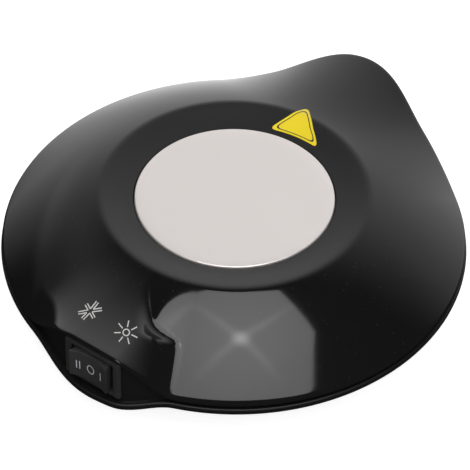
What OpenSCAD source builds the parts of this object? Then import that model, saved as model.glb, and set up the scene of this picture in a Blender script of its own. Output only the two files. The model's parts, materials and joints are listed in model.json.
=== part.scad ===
// Desktop cup warmer and cooler: a low round body with two raised lobes, a round metal cup
// plate, a three-position rocker switch in the front lobe and a supply inlet in the rear lobe.
// Millimetres, +Z up, origin under the plate's centre on the surface that the feet stand on.
// Plan angles run from -Y towards +X, so the switch lobe is near 0 and the inlet lobe near 180.

/* [Body] */
// Radius of the cover's rim away from the lobes
rim_r = 74.7; // [73:0.1:78]
// How far the base's edge stands out past the cover's rim
base_out = 0.4; // [0.2:0.1:1]
// How far each lobe stands out past the round rim
lobe_out = 6.6; // [5.5:0.1:8]
// Height of the ring's crest over the rim
crest_rise = 18.4; // [17:0.1:22]
// Height of the front lobe's edge over the rim
front_rise = 16.6; // [16.2:0.1:17.5]
// Height of the rear lobe's edge over the rim
rear_rise = 16.5; // [14:0.1:17]
// Share of the flank's fall that is curved and not straight
flank_curve = 0.4; // [0.2:0.05:0.6]
// Wall thickness of the cover
cover_t = 1.8; // [1.4:0.1:2.2]
// Wall thickness of the base
base_t = 1.8; // [1.4:0.1:2.4]
// Height of the cover's vertical lip
lip_h = 1; // [0.9:0.1:1.5]
// Shadow gap between the cover's lip and the base's edge
shadow_gap = 1.4; // [0.8:0.1:1.6]
// Height of the base's vertical edge
edge_h = 2; // [1.4:0.1:2.6]

/* [Cup plate] */
// Radius of the metal plate that the cup stands on
plate_r = 32; // [30:0.1:33]
// Whole thickness of the plate
plate_h = 4.6; // [4.2:0.1:5.5]
// How far the plate's hidden flange reaches past its face
flange_w = 3; // [2.4:0.1:3.5]
// Thickness of that flange
flange_t = 1.4; // [1:0.1:1.8]
// Thickness of the seal on the flange
seal_t = 0.8; // [0.6:0.1:1.2]
// Radial gap round the plate
plate_gap = 0.35; // [0.2:0.05:0.5]
// Radius of the ring's crest
crest_r = 43; // [42:0.1:45]
// How far the crest stands over the plate
crest_over = 2; // [1.6:0.1:2.4]
// How far the ring's inner edge lies under the plate's face
ring_drop = 0.5; // [0.3:0.1:0.8]

/* [Cooler stack] */
// Side of the square thermoelectric module
tec_w = 40; // [36:1:40]
// Height of the module
tec_h = 3.5; // [3.2:0.1:4]
// Thickness of each ceramic face
ceramic_t = 0.8; // [0.6:0.1:1]
// Thickness of each thermal pad
pad_t = 0.3; // [0.2:0.05:0.5]
// Pellets along each side of the module
pellets = 8; // [6:1:9]
// Thickness of the heat sink's base
sink_t = 3; // [2.6:0.1:4]
// Height of the fins
fin_h = 8.4; // [7:0.1:12]
// Thickness of a fin
fin_t = 1.2; // [0.9:0.1:1.6]
// Pitch of the fins
fin_pitch = 4.2; // [3.6:0.1:5]
// Width of each side ear of the heat sink
ear_w = 8; // [7.5:0.1:9]

/* [Fan] */
// Side of the square fan frame
fan_w = 60; // [58:1:60]
// Height of the fan frame
fan_h = 10; // [10:0.5:12]
// Thickness of the frame's side at the air duct
duct_wall = 1.5; // [1.3:0.1:2.5]
// Distance of the fan's screw holes from its sides
fan_inset = 5; // [4.5:0.1:5.5]
// Number of blades
blades = 9; // [7:1:11]
// Radius of the rotor's hub
hub_r = 13; // [12:0.1:14]
// Gap between the blade tips and the duct
tip_gap = 0.8; // [0.5:0.1:1.2]
// Radius of the fan's shaft
shaft_r = 1; // [0.8:0.1:1.2]
// Radial clearance of the shaft in its bearing
shaft_gap = 0.03; // [0.02:0.01:0.06]

/* [Switch] */
// Width of the bezel
bezel_w = 21; // [20:0.1:21.5]
// Height of the bezel
bezel_h = 15; // [14.4:0.1:15.2]
// Thickness of the bezel's flange
bezel_t = 1.2; // [1:0.1:1.6]
// Width of the opening that the rocker fills
mouth_w = 16; // [15.8:0.1:16.6]
// Height of that opening
mouth_h = 11.4; // [11:0.1:11.8]
// Width of the rocker
rocker_w = 14.4; // [13.8:0.1:14.6]
// How far the rocker's ends stand out of the bezel
rocker_out = 2.3; // [2:0.1:2.8]
// Depth of the hollow in the rocker's face
rocker_dish = 1.5; // [1:0.1:1.8]
// Radius of the rocker's pivot pins
pivot_r = 1; // [0.8:0.1:1.2]
// Radial clearance of the pivot pins
pivot_gap = 0.05; // [0.03:0.01:0.08]
// Place of the switch along X
switch_x = 5.5; // [4:0.1:7]

/* [Inlet and board] */
// Radius of the inlet's barrel hole
jack_hole_r = 3.1; // [2.9:0.1:3.3]
// Radius of the inlet's centre pin
jack_pin_r = 1.05; // [1:0.05:1.3]
// Place of the inlet along X
jack_x = -5.5; // [-7:0.1:-4]
// Thickness of the circuit board
board_t = 1.6; // [1.2:0.1:2]
// Height of the board's underside over the floor's inside
board_rise = 12; // [11:0.1:13]

/* [Base] */
// How far the rubber feet stand out under the base
foot_h = 3; // [2:0.1:4]
// Radius of a rubber foot
foot_r = 6; // [5:0.1:6.5]
// Distance of each foot from the centre along X and along Y
foot_xy = 36.5; // [36:0.1:38]
// Thickness of the floor
floor_t = 2; // [1.8:0.1:2.6]
// Width of the vent slots
vent_w = 3; // [2:0.1:3.6]
// Number of spokes across the intake grille
grille_spokes = 6; // [4:1:8]
// Radius of the case screws' shanks
case_screw_r = 1.5; // [1.25:0.05:1.6]
// Distance of the case screws from the rim, along X
case_screw_in = 22.2; // [21.5:0.1:24]
// Place of the case screws along Y
case_screw_y = 24; // [22:0.1:25]

/* [Hidden] */
$fn = 48;

// Small shared clearances
roof_gap = 0.8;
thread_gap = 0.02;
eps = 0.01;

// Heights, from the surface upwards
floor_z = foot_h;
floor_top = floor_z + floor_t;
fan_seat = 0.5;
fan_z = floor_top + fan_seat;
fan_top = fan_z + fan_h;
fan_sink_gap = 0.4;
fin_z = fan_top + fan_sink_gap;
sink_z = fin_z + fin_h;
sink_top = sink_z + sink_t;
tec_z = sink_top + pad_t;
tec_top = tec_z + tec_h;
plate_z = tec_top + pad_t;
plate_top = plate_z + plate_h;
flange_top = plate_z + flange_t;
seal_top = flange_top + seal_t;
crest_z = plate_top + crest_over;
rim_z = crest_z - crest_rise;
lip_z = rim_z - lip_h;
ledge_z = lip_z - shadow_gap;
edge_z = ledge_z - edge_h;

// Plan of the body
base_r = rim_r + base_out;
floor_r = rim_r - 12.7;
plate_hole_r = plate_r + plate_gap;
flange_r = plate_r + flange_w;
seat_r = flange_r + 1.5;
case_screw_x = rim_r - case_screw_in;

// The finned block is as wide as the fan under it, and the board lies behind both
sink_w = fan_w;
fan_pitch = fan_w - 2 * fan_inset;
duct_r = fan_w / 2 - duct_wall;
board_y0 = fan_w / 2 + 6.5;

// Walls
wall_in = 1.8;
wall_y = rim_r + 3.2;
front_cut = wall_y + 1.3;

// Lobes: [start of the level top, its end, width of the run-out before it, width after it]
front_plan = [5.5, 9.4, 26.3, 13.4];
front_bell = [-1, 10.2, 22.6, 12.5];
rear_plan = [5.5, 6.8, 25.7, 20.8];
rear_bell = [1.3, 1.3, 42, 40];
front_spread = 4;
rear_spread = [0.63, -0.33];
bell_full = 45;
narrow_from = 0.82;
narrow_power = -5;
front_saddle = 2;
rear_saddle = 1.64;

function fade(u) = u >= 1 ? 0 : u <= 0 ? 1 : (1 + cos(180 * u)) / 2;
function hump(a, s) = a < s[0] ? fade((s[0] - a) / s[2]) : a > s[1] ? fade((a - s[1]) / s[3]) : 1;
function turned(a) = a - 360 * floor((a + 180) / 360);
function is_front(a) = abs(turned(a)) < 90;
function lobe_angle(a) = is_front(a) ? turned(a) : turned(a - 180);
function lobe_plan(a) = is_front(a) ? front_plan : rear_plan;
function lobe_bell(a) = is_front(a) ? front_bell : rear_bell;
// Angle read on a lobe's bell: the front ridge keeps its right side over the switch and narrows behind it
function bell_turn(a, share) =
    let (local = lobe_angle(a))
    local * (!is_front(a) ? pow(share, rear_spread[local < 0 ? 0 : 1])
        : local < 0 ? pow(share, front_spread) : pow(min(1, share / narrow_from), narrow_power));
function lobe_rise(a) = is_front(a) ? front_rise : rear_rise;
function reach(a) = lobe_out * hump(lobe_angle(a), lobe_plan(a));
function flat_cut(a, y) = abs(lobe_angle(a)) < 60 ? y / cos(lobe_angle(a)) : 1000;
function base_edge_r(a) = base_r + reach(a);
function cover_edge_r(a) = is_front(a) ? min(rim_r + reach(a), flat_cut(a, front_cut)) : rim_r + reach(a);
function wall_r(a, inset) = min(rim_r + reach(a) - wall_in - inset, flat_cut(a, wall_y - inset));

// Height of the cover's outer face at plan angle a and radius r, outside the crest
function flank_z(a, r) =
    let (edge = cover_edge_r(a), t = max(0, (r - crest_r) / (edge - crest_r)))
    let (fall = (1 - flank_curve) * t + flank_curve * t * t)
    let (side = fade((abs(lobe_angle(a)) - bell_full) / (90 - bell_full)))
    let (bell = side * hump(bell_turn(a, r / edge), lobe_bell(a)))
    rim_z + crest_rise * (1 - fall) + lobe_rise(a) * bell * pow(t, is_front(a) ? front_saddle : rear_saddle);

// Height of the ring's dished face at radius r, inside the crest
ring_low = plate_top - ring_drop;
function ring_z(r) =
    let (t = max(0, (r - plate_hole_r) / (crest_r - plate_hole_r)))
    ring_low + (crest_z - ring_low) * (0.55 * t + 0.9 * t * t - 0.45 * t * t * t);

function skin_z(a, r) = r < crest_r ? ring_z(r) : flank_z(a, r);
function at(a, r, z) = [r * sin(a), -r * cos(a), z];

// Plan angles of the sections, closer together in the lobes
function steps(a, b, n) = [for (i = [0 : n - 1]) a + (b - a) * i / n];
section_angles = concat(steps(-29, 25, 22), steps(25, 136, 14), steps(136, 209, 26), steps(209, 331, 15));

// Closed ring swept through all the sections; every section is one loop of the same length
module swept(sections) {
    n = len(sections);
    m = len(sections[0]);
    points = [for (s = sections) for (p = s) p];
    faces = [for (i = [0 : n - 1]) for (j = [0 : m - 1])
        let (k = (i + 1) % n, l = (j + 1) % m)
        for (f = [[i * m + j, i * m + l, k * m + l], [i * m + j, k * m + l, k * m + j]]) f];
    polyhedron(points = points, faces = faces);
}

// Smooth round lead through points, with flat ends
lead_sides = 8;
lead_steps = 3;
function mix(p, i, t) =
    let (n = len(p) - 1)
    let (a = p[max(0, i - 1)], b = p[i], c = p[min(n, i + 1)], d = p[min(n, i + 2)])
    b + t * ((c - a) / 2 + t * ((a - 2.5 * b + 2 * c - d / 2) + t * (1.5 * (b - c) + (d - a) / 2)));
function smooth_path(p) = concat([for (i = [0 : len(p) - 2]) for (k = [0 : lead_steps - 1])
    mix(p, i, k / lead_steps)], [p[len(p) - 1]]);
function unit(v) = v / norm(v);
function side_of(d) = unit(cross(d, abs(d[2]) > 0.9 ? [1, 0, 0] : [0, 0, 1]));
function path_dir(p, i) = unit(p[min(len(p) - 1, i + 1)] - p[max(0, i - 1)]);
function frames(p, i = 0, s = undef) =
    i >= len(p) ? [] :
    let (d = path_dir(p, i), raw = is_undef(s) ? side_of(d) : s - (s * d) * d, u = unit(raw))
    concat([[u, cross(d, u)]], frames(p, i + 1, u));
module lead(route, r, sides = lead_sides) {
    p = smooth_path(route);
    tube(p, r, sides);
}
module tube(p, r, sides) {
    f = frames(p);
    n = len(p);
    points = [for (i = [0 : n - 1]) for (k = [0 : sides - 1])
        p[i] + r * (cos(360 * k / sides) * f[i][0] + sin(360 * k / sides) * f[i][1])];
    sidef = [for (i = [0 : n - 2]) for (k = [0 : sides - 1])
        let (l = (k + 1) % sides)
        for (g = [[i * sides + k, (i + 1) * sides + k, (i + 1) * sides + l],
                  [i * sides + k, (i + 1) * sides + l, i * sides + l]]) g];
    caps = [[for (k = [0 : sides - 1]) k], [for (k = [sides - 1 : -1 : 0]) (n - 1) * sides + k]];
    polyhedron(points = points, faces = concat(sidef, caps));
}

module four(x, y) {
    for (sx = [-1, 1])
        for (sy = [-1, 1])
            translate([sx * x, sy * y, 0])
                children();
}

module box(x, y, z) {
    translate([x[0], y[0], z[0]])
        cube([x[1] - x[0], y[1] - y[0], z[1] - z[0]]);
}

module ring(r_out, r_in, z0, z1) {
    translate([0, 0, z0])
        difference() {
            cylinder(r = r_out, h = z1 - z0);
            translate([0, 0, -1])
                cylinder(r = r_in, h = z1 - z0 + 2);
        }
}

// Screw with its head down at z = 0 and its shank up to z = length
module screw(head_r, head_h, shank_r, length) {
    slot_w = head_r * 0.28;
    difference() {
        union() {
            translate([0, 0, -head_h])
                cylinder(r = head_r, h = head_h);
            translate([0, 0, -eps])
                cylinder(r = shank_r, h = length + eps);
        }
        for (turn = [0, 90])
            rotate([0, 0, turn])
                translate([-head_r * 0.6, -slot_w / 2, -head_h - 1])
                    cube([head_r * 1.2, slot_w, 1 + head_h * 0.5]);
    }
}

// ---- Housing ----

flank_steps = [0.1, 0.22, 0.36, 0.5, 0.64, 0.78, 0.9];
ring_steps = [0.35, 0.7];
inner_steps = [0.84, 0.66, 0.44, 0.22];
thin_step = 0.93;
lip_t = 1;
rim_t = 1.1;
trim_r = plate_hole_r - 0.6;

function cover_section(a) =
    let (edge = cover_edge_r(a), span = edge - crest_r, ring_span = crest_r - plate_hole_r)
    let (inner_edge = edge - lip_t, thin_r = crest_r + thin_step * (edge - lip_t - crest_r))
    let (outer = concat(
        [at(a, trim_r, seal_top), at(a, seat_r, seal_top), at(a, crest_r - 2, crest_z - cover_t - 0.6)],
        [for (k = [len(inner_steps) - 1 : -1 : 0])
            let (r = crest_r + inner_steps[k] * (inner_edge - crest_r)) at(a, r, flank_z(a, r) - cover_t)],
        [at(a, thin_r, flank_z(a, thin_r) - (rim_t + cover_t) / 2),
         at(a, inner_edge, flank_z(a, inner_edge) - rim_t), at(a, inner_edge, flank_z(a, edge) - lip_h - 0.1),
         at(a, edge, flank_z(a, edge) - lip_h), at(a, edge, flank_z(a, edge) - 0.5),
         at(a, edge - 0.6, flank_z(a, edge - 0.6))],
        [for (k = [len(flank_steps) - 1 : -1 : 0])
            let (r = crest_r + flank_steps[k] * span) at(a, r, flank_z(a, r))],
        [at(a, crest_r, crest_z)],
        [for (k = [len(ring_steps) - 1 : -1 : 0])
            let (r = plate_hole_r + ring_steps[k] * ring_span) at(a, r, ring_z(r))],
        [at(a, trim_r, ring_low)]))
    outer;

// Posts that the heat sink hangs from, and bosses for the case screws
post_x = sink_w / 2 + ear_w / 2;
post_y = sink_w / 2 - 8;
post_r = 3.4;
sink_screw_r = 1.5;
boss_r = 3.8;
boss_z = rim_z - 2.4;
post_top = crest_z - cover_t - 0.4;

// Boss that ends in the cover's thickness, with its top on the flank's slope
module boss(x, y) {
    a = atan2(x, -y);
    r = norm([x, y]);
    top = flank_z(a, r) - cover_t / 2;
    slope = atan2(flank_z(a, r - boss_r) - flank_z(a, r + boss_r), 2 * boss_r);
    translate([x, y, 0])
        difference() {
            translate([0, 0, boss_z])
                cylinder(r = boss_r, h = top + boss_r - boss_z);
            translate([0, 0, top])
                rotate([0, 0, atan2(y, x)])
                    rotate([0, slope, 0])
                        translate([-2 * boss_r, -2 * boss_r, 0])
                            cube([4 * boss_r, 4 * boss_r, 4 * boss_r]);
        }
}

module top_cover() {
    color([0.03, 0.03, 0.035])
        difference() {
            union() {
                swept([for (a = section_angles) cover_section(a)]);
                four(post_x, post_y)
                    translate([0, 0, sink_top])
                        cylinder(r = post_r, h = post_top - sink_top);
                for (sx = [-1, 1])
                    for (sy = [-1, 1])
                        boss(sx * case_screw_x, sy * case_screw_y);
            }
            translate([0, 0, plate_z - 1])
                cylinder(r = plate_hole_r, h = plate_h + 4, $fn = 96);
            four(post_x, post_y)
                translate([0, 0, sink_top - 1])
                    cylinder(r = sink_screw_r + thread_gap, h = sink_screw_l - sink_t + 1.6);
            four(case_screw_x, case_screw_y)
                translate([0, 0, boss_z - 1])
                    cylinder(r = case_screw_r + thread_gap, h = case_screw_top - boss_z + 1.4);
        }
}

column_r = 4.4;
column_top = boss_z - 0.2;
case_head_z = floor_top + 4;
case_head_r = 2.8;
case_screw_l = 14;
case_screw_top = case_head_z + case_screw_l;
grille_r = 27.5;
grille_hub = 9;
grille_gap = 3.2;
grille_rib = 1.6;
spoke_w = 2.2;
foot_sink = 0.8;
board_z = floor_top + board_rise;
board_top = board_z + board_t;
board_post_x = 18;
board_post_y = [board_y0 + 3.5, board_y0 + 18.5];
board_post_r = 3;
board_screw_r = 1.1;
board_screw_l = 6;
jack_h = 11;
jack_w = 9;
jack_l = 14;
jack_z = board_top + 6.4;
collar_r = 4;

function base_section(a) =
    let (edge = base_edge_r(a), wall = wall_r(a, 0), inner = wall_r(a, base_t))
    let (roof = min(flank_z(a, wall), flank_z(a, inner)) - rim_t)
    let (wall_top = max(ledge_z + 1, roof - roof_gap))
    [
        at(a, floor_r, floor_z),
        at(a, floor_r + 1, floor_z + 0.2),
        at(a, edge - 2.6, edge_z - 2),
        at(a, edge - 0.7, edge_z - 0.1),
        at(a, edge, edge_z + 0.6),
        at(a, edge, ledge_z - 0.8),
        at(a, edge - 0.25, ledge_z - 0.25),
        at(a, edge - 0.8, ledge_z),
        at(a, wall, ledge_z),
        at(a, wall, wall_top),
        at(a, inner, wall_top),
        at(a, inner, edge_z),
        at(a, inner - 1.6, edge_z - 2.2),
        at(a, floor_r - 0.6, floor_top)
    ];

module grille_slots() {
    rings = floor((grille_r - grille_hub) / (grille_gap + grille_rib));
    difference() {
        for (i = [0 : rings - 1])
            ring(grille_hub + (i + 1) * (grille_gap + grille_rib), grille_hub + i * (grille_gap + grille_rib)
                + grille_rib, floor_z - 1, floor_top + 1);
        for (i = [0 : grille_spokes - 1])
            rotate([0, 0, 360 * i / grille_spokes])
                translate([0, -spoke_w / 2, floor_z - 2])
                    cube([grille_r + 5, spoke_w, floor_t + 4]);
    }
}

vent_angles = [-40, -32, -12, -4, 4, 12, 32, 40];
vent_r0 = floor_r + 1.5;
vent_r1 = floor_r + 8;

module base_cover() {
    color([0.05, 0.05, 0.055])
        difference() {
            union() {
                swept([for (a = section_angles) base_section(a)]);
                translate([0, 0, floor_z])
                    cylinder(r = floor_r + 0.4, h = floor_t, $fn = 96);
                four(case_screw_x, case_screw_y)
                    translate([0, 0, floor_z + 0.6])
                        cylinder(r = column_r, h = column_top - floor_z - 0.6);
                four(fan_pitch / 2, fan_pitch / 2)
                    translate([0, 0, floor_top - eps])
                        cylinder(r = 4, h = fan_seat + eps);
                for (sx = [-1, 1])
                    for (y = board_post_y)
                        translate([sx * board_post_x, y, floor_top - eps])
                            cylinder(r = board_post_r, h = board_rise + eps);
            }
            grille_slots();
            for (side = [0, 180])
                for (a = vent_angles)
                    rotate([0, 0, side + a])
                        translate([vent_r0, -vent_w / 2, floor_z - 1])
                            cube([vent_r1 - vent_r0, vent_w, edge_z - floor_z]);
            four(foot_xy, foot_xy)
                translate([0, 0, floor_z - 1])
                    cylinder(r = foot_r + 0.1, h = 1 + foot_sink);
            four(case_screw_x, case_screw_y) {
                translate([0, 0, floor_z - 1])
                    cylinder(r = case_head_r + 0.3, h = case_head_z - floor_z + 1);
                translate([0, 0, case_head_z - 1])
                    cylinder(r = case_screw_r + 0.2, h = column_top - case_head_z + 2);
            }
            four(fan_pitch / 2, fan_pitch / 2) {
                translate([0, 0, floor_z - 1])
                    cylinder(r = fan_head_r + 0.3, h = 1 + fan_head_h);
                translate([0, 0, floor_z - 1])
                    cylinder(r = fan_screw_r + 0.15, h = 5);
            }
            for (sx = [-1, 1])
                for (y = board_post_y)
                    translate([sx * board_post_x, y, board_z - board_screw_l + board_t - 0.4])
                        cylinder(r = board_screw_r + thread_gap, h = board_screw_l);
            translate([switch_x, -wall_y, switch_z])
                cube([body_w + 0.3, 10, body_h + 0.3], center = true);
            translate([jack_x, wall_y + 3, jack_z])
                rotate([90, 0, 0])
                    cylinder(r = collar_r + 0.15, h = 8);
        }
}

module rubber_feet() {
    color([0.09, 0.09, 0.09])
        four(foot_xy, foot_xy)
            difference() {
                cylinder(r = foot_r, h = foot_h + foot_sink);
                translate([0, 0, -1])
                    cylinder(r = foot_r * 0.45, h = 1.6);
            }
}

module case_screws() {
    color([0.6, 0.6, 0.62])
        four(case_screw_x, case_screw_y)
            translate([0, 0, case_head_z])
                screw(case_head_r, 1.8, case_screw_r, case_screw_l);
}

// Blank triangle laid over the ring and its crest, with a hollow lower side round the plate
sticker_t = 0.2;
sticker_lift = 0.1;
crest_bend = 2.4;
sticker_n = 10;
sticker_a = [-10.6, 32.4];
sticker_b = [7.5, 34.3];
sticker_c = [-5.6, 47.2];
sticker_hollow = 1.2;

function sticker_xy(i, j) =
    let (u = i / sticker_n, v = j / sticker_n, w = 1 - u - v)
    let (p = sticker_a * w + sticker_b * u + sticker_c * v)
    p + [0, 4 * sticker_hollow * u * w];
function sticker_at(i, j, lift) =
    let (p = sticker_xy(i, j), r = norm(p))
    [p[0], p[1], skin_z(atan2(p[0], -p[1]), r) + lift + 0.3 * pow(max(0, 1 - abs(r - crest_r) / crest_bend), 2)];
function sticker_id(i, j) = j * (sticker_n + 1) - j * (j - 1) / 2 + i;

module hazard_sticker() {
    n = sticker_n;
    count = (n + 1) * (n + 2) / 2;
    low = [for (j = [0 : n]) for (i = [0 : n - j]) sticker_at(i, j, sticker_lift)];
    high = [for (j = [0 : n]) for (i = [0 : n - j]) sticker_at(i, j, sticker_lift + sticker_t)];
    up = [for (j = [0 : n - 1]) for (i = [0 : n - j - 1]) [sticker_id(i, j), sticker_id(i, j + 1),
        sticker_id(i + 1, j)]];
    up2 = [for (j = [0 : n - 2]) for (i = [0 : n - j - 2]) [sticker_id(i + 1, j), sticker_id(i, j + 1),
        sticker_id(i + 1, j + 1)]];
    top = [for (f = concat(up, up2)) [for (k = f) k + count]];
    bottom = [for (f = concat(up, up2)) [f[2], f[1], f[0]]];
    edge = concat([for (i = [0 : n]) sticker_id(i, 0)], [for (j = [1 : n]) sticker_id(n - j, j)],
        [for (j = [n - 1 : -1 : 1]) sticker_id(0, j)]);
    sides = [for (k = [0 : len(edge) - 1])
        let (a = edge[k], b = edge[(k + 1) % len(edge)])
        for (f = [[a, a + count, b + count], [a, b + count, b]]) f];
    color([0.95, 0.85, 0.1])
        polyhedron(points = concat(low, high), faces = concat(top, bottom, sides));
}

// ---- Cup plate and thermoelectric stack ----

module cup_plate() {
    chamfer = 0.4;
    color([0.83, 0.82, 0.81])
        rotate_extrude($fn = 96)
            polygon([
                [0, plate_z], [flange_r, plate_z], [flange_r, flange_top], [plate_r, flange_top],
                [plate_r, plate_top - chamfer], [plate_r - chamfer, plate_top], [0, plate_top]
            ]);
}

module plate_seal() {
    color([0.2, 0.2, 0.2])
        ring(flange_r, plate_r + 0.1, flange_top, seal_top);
}

frame_slot = [4, 13];

module insulation_frame() {
    hole = tec_w + 2;
    color([0.93, 0.92, 0.88])
        difference() {
            box([-sink_w / 2, sink_w / 2], [-sink_w / 2, sink_w / 2], [sink_top, plate_z]);
            box([-hole / 2, hole / 2], [-hole / 2, hole / 2], [sink_top - 1, plate_z + 1]);
            box(frame_slot, [tec_w / 2, sink_w / 2 + 1], [sink_top - 1, plate_z + 1]);
        }
}

module square_sheet(z0, z1) {
    box([-tec_w / 2, tec_w / 2], [-tec_w / 2, tec_w / 2], [z0, z1]);
}

module thermal_pad_upper() {
    color([0.75, 0.75, 0.72])
        square_sheet(tec_top, plate_z);
}

module thermal_pad_lower() {
    color([0.75, 0.75, 0.72])
        square_sheet(sink_top, tec_z);
}

module tec_upper_ceramic() {
    color([0.95, 0.95, 0.93])
        square_sheet(tec_top - ceramic_t, tec_top);
}

module tec_lower_ceramic() {
    color([0.95, 0.95, 0.93])
        square_sheet(tec_z, tec_z + ceramic_t);
}

module tec_pellets() {
    pitch = (tec_w - 3) / pellets;
    side = pitch * 0.55;
    color([0.45, 0.45, 0.47])
        for (i = [0 : pellets - 1])
            for (j = [0 : pellets - 1])
                translate([(i - (pellets - 1) / 2) * pitch, (j - (pellets - 1) / 2) * pitch,
                    tec_z + tec_h / 2])
                    cube([side, side, tec_h - 2 * ceramic_t], center = true);
}

tec_lead_r = 0.8;
tec_lead_x = [6.5, 10.5];
connector_h = 5;
connector_top = board_top + connector_h;
tec_plug_y = board_y0 + 7;
lead_end = 0.15;

module tec_leads() {
    lead_z = tec_z + ceramic_t + tec_lead_r + 0.05;
    color([0.7, 0.1, 0.08])
        for (x = tec_lead_x)
            lead([
                [x, tec_w / 2 - 0.5, lead_z], [x, sink_w / 2 - 4, lead_z], [x, sink_w / 2 + 3, lead_z],
                [x, sink_w / 2 + 9, lead_z - 1], [x, sink_w / 2 + 12.5, lead_z - 3],
                [x, tec_plug_y, connector_top + 1.5],
                [x, tec_plug_y, connector_top + lead_end]
            ], tec_lead_r);
}

sink_screw_l = 9;

module heat_sink() {
    fins = floor((sink_w - fin_t) / fin_pitch);
    first = -fins * fin_pitch / 2;
    half = sink_w / 2;
    color([0.72, 0.73, 0.75])
        difference() {
            union() {
                box([-half - ear_w, half + ear_w], [-half, half], [sink_z, sink_top]);
                for (i = [0 : fins])
                    box([-half, half], [first + i * fin_pitch - fin_t / 2, first + i * fin_pitch + fin_t / 2],
                        [fin_z, sink_z + eps]);
            }
            four(post_x, post_y)
                translate([0, 0, sink_z - 1])
                    cylinder(r = sink_screw_r + 0.2, h = sink_t + 2);
        }
}

module sink_screws() {
    color([0.6, 0.6, 0.62])
        four(post_x, post_y)
            translate([0, 0, sink_z])
                screw(2.8, 1.8, sink_screw_r, sink_screw_l);
}

// ---- Fan ----

fan_screw_r = 1.9;
fan_screw_l = 9;
fan_head_r = 3.5;
fan_head_h = 1.5;
strut_h = 1.5;
strut_w = 3;
stator_seat_r = 4.2;
bearing_r = 2.8;
bearing_tube_r = 4;
bearing_z = fan_z + strut_h;
bearing_top = bearing_z + 5.6;
hub_z = fan_z + 3;
hub_top = fan_top - 0.6;
hub_wall = 1;
magnet_t = 1.2;
magnet_r = hub_r - hub_wall - 0.02;
fan_board_z = bearing_z + 0.1;
fan_board_t = 0.8;
lead_notch = [1.2, 4.6];

module fan_frame() {
    half = fan_w / 2;
    corner = 3;
    color([0.07, 0.07, 0.07])
        difference() {
            union() {
                difference() {
                    translate([0, 0, fan_z])
                        linear_extrude(height = fan_h)
                            union() {
                                square([fan_w - 2 * corner, fan_w], center = true);
                                square([fan_w, fan_w - 2 * corner], center = true);
                                for (sx = [-1, 1])
                                    for (sy = [-1, 1])
                                        translate([sx * (half - corner), sy * (half - corner)])
                                            circle(r = corner);
                            }
                    translate([0, 0, fan_z - 1])
                        cylinder(r = duct_r, h = fan_h + 2, $fn = 96);
                }
                for (a = [45, 135, 225, 315])
                    rotate([0, 0, a])
                        translate([stator_seat_r, -strut_w / 2, fan_z])
                            cube([duct_r - stator_seat_r + 0.8, strut_w, strut_h]);
                translate([0, 0, fan_z])
                    cylinder(r = hub_r, h = strut_h);
                translate([0, 0, fan_z])
                    cylinder(r = bearing_tube_r, h = bearing_top - fan_z);
            }
            translate([0, 0, bearing_z])
                cylinder(r = bearing_r, h = fan_h);
            four(fan_pitch / 2, fan_pitch / 2)
                translate([0, 0, fan_z - 1])
                    cylinder(r = fan_screw_r + thread_gap, h = fan_h + 2);
            box(lead_notch, [duct_r - 1.5, fan_w / 2 + 1], [fan_z + strut_h - 0.4, fan_z + strut_h + 1.6]);
        }
}

module fan_bearing() {
    color([0.7, 0.5, 0.25])
        ring(bearing_r, shaft_r + shaft_gap, bearing_z, bearing_top);
}

module fan_board() {
    color([0.1, 0.35, 0.15])
        ring(hub_r - 2.2, bearing_tube_r + 0.05, fan_board_z, fan_board_z + fan_board_t);
}

module fan_stator() {
    low = fan_board_z + fan_board_t + 0.4;
    high = bearing_top - 0.3;
    coil_w = 3.6;
    inner = magnet_r - magnet_t - 0.5;
    color([0.6, 0.35, 0.15]) {
        ring(6, bearing_tube_r + 0.03, low - 0.4, high);
        for (a = [0 : 90 : 270])
            rotate([0, 0, a])
                intersection() {
                    union() {
                        box([5, inner - 1], [-coil_w / 2, coil_w / 2], [low, high]);
                        box([inner - 1.1, inner + 1], [-coil_w, coil_w], [low, high]);
                    }
                    cylinder(r = inner, h = high + 1);
                }
    }
}

blade_chord = 13;
blade_pitch = 38;
blade_t = 1.1;
blade_sag = 1.6;
blade_drop = 0.2;

module blade() {
    bow_r = (pow(blade_chord / 2, 2) + pow(blade_sag, 2)) / (2 * blade_sag);
    rotate([blade_pitch, 0, 0])
        rotate([90, 0, 90])
            translate([0, -bow_r + blade_sag / 2, hub_r - 0.6])
                linear_extrude(height = duct_r - hub_r)
                    intersection() {
                        difference() {
                            circle(r = bow_r + blade_t / 2, $fn = 64);
                            circle(r = bow_r - blade_t / 2, $fn = 64);
                        }
                        translate([-blade_chord / 2, bow_r - blade_sag - 1])
                            square([blade_chord, blade_sag + 3]);
                    }
}

module fan_rotor() {
    mid = (hub_z + hub_top) / 2;
    color([0.08, 0.08, 0.08])
        difference() {
            union() {
                translate([0, 0, hub_z])
                    cylinder(r = hub_r, h = hub_top - hub_z);
                intersection() {
                    for (i = [0 : blades - 1])
                        rotate([0, 0, 360 * i / blades])
                            translate([0, 0, mid])
                                blade();
                    translate([0, 0, hub_z - blade_drop])
                        cylinder(r = duct_r - tip_gap, h = hub_top - hub_z + blade_drop);
                }
            }
            translate([0, 0, hub_z - 2])
                cylinder(r = hub_r - hub_wall, h = hub_top - hub_z + 0.8);
            translate([0, 0, hub_top - 1.3])
                cylinder(r = shaft_r + thread_gap, h = 0.9);
        }
}

module fan_magnet() {
    color([0.25, 0.25, 0.27])
        ring(magnet_r, magnet_r - magnet_t, hub_z + 0.2, hub_top - 1.6);
}

module fan_shaft() {
    color([0.8, 0.8, 0.82])
        translate([0, 0, bearing_z + 0.2])
            cylinder(r = shaft_r, h = hub_top - 0.45 - bearing_z - 0.2);
}

fan_lead_r = 0.45;

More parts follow.
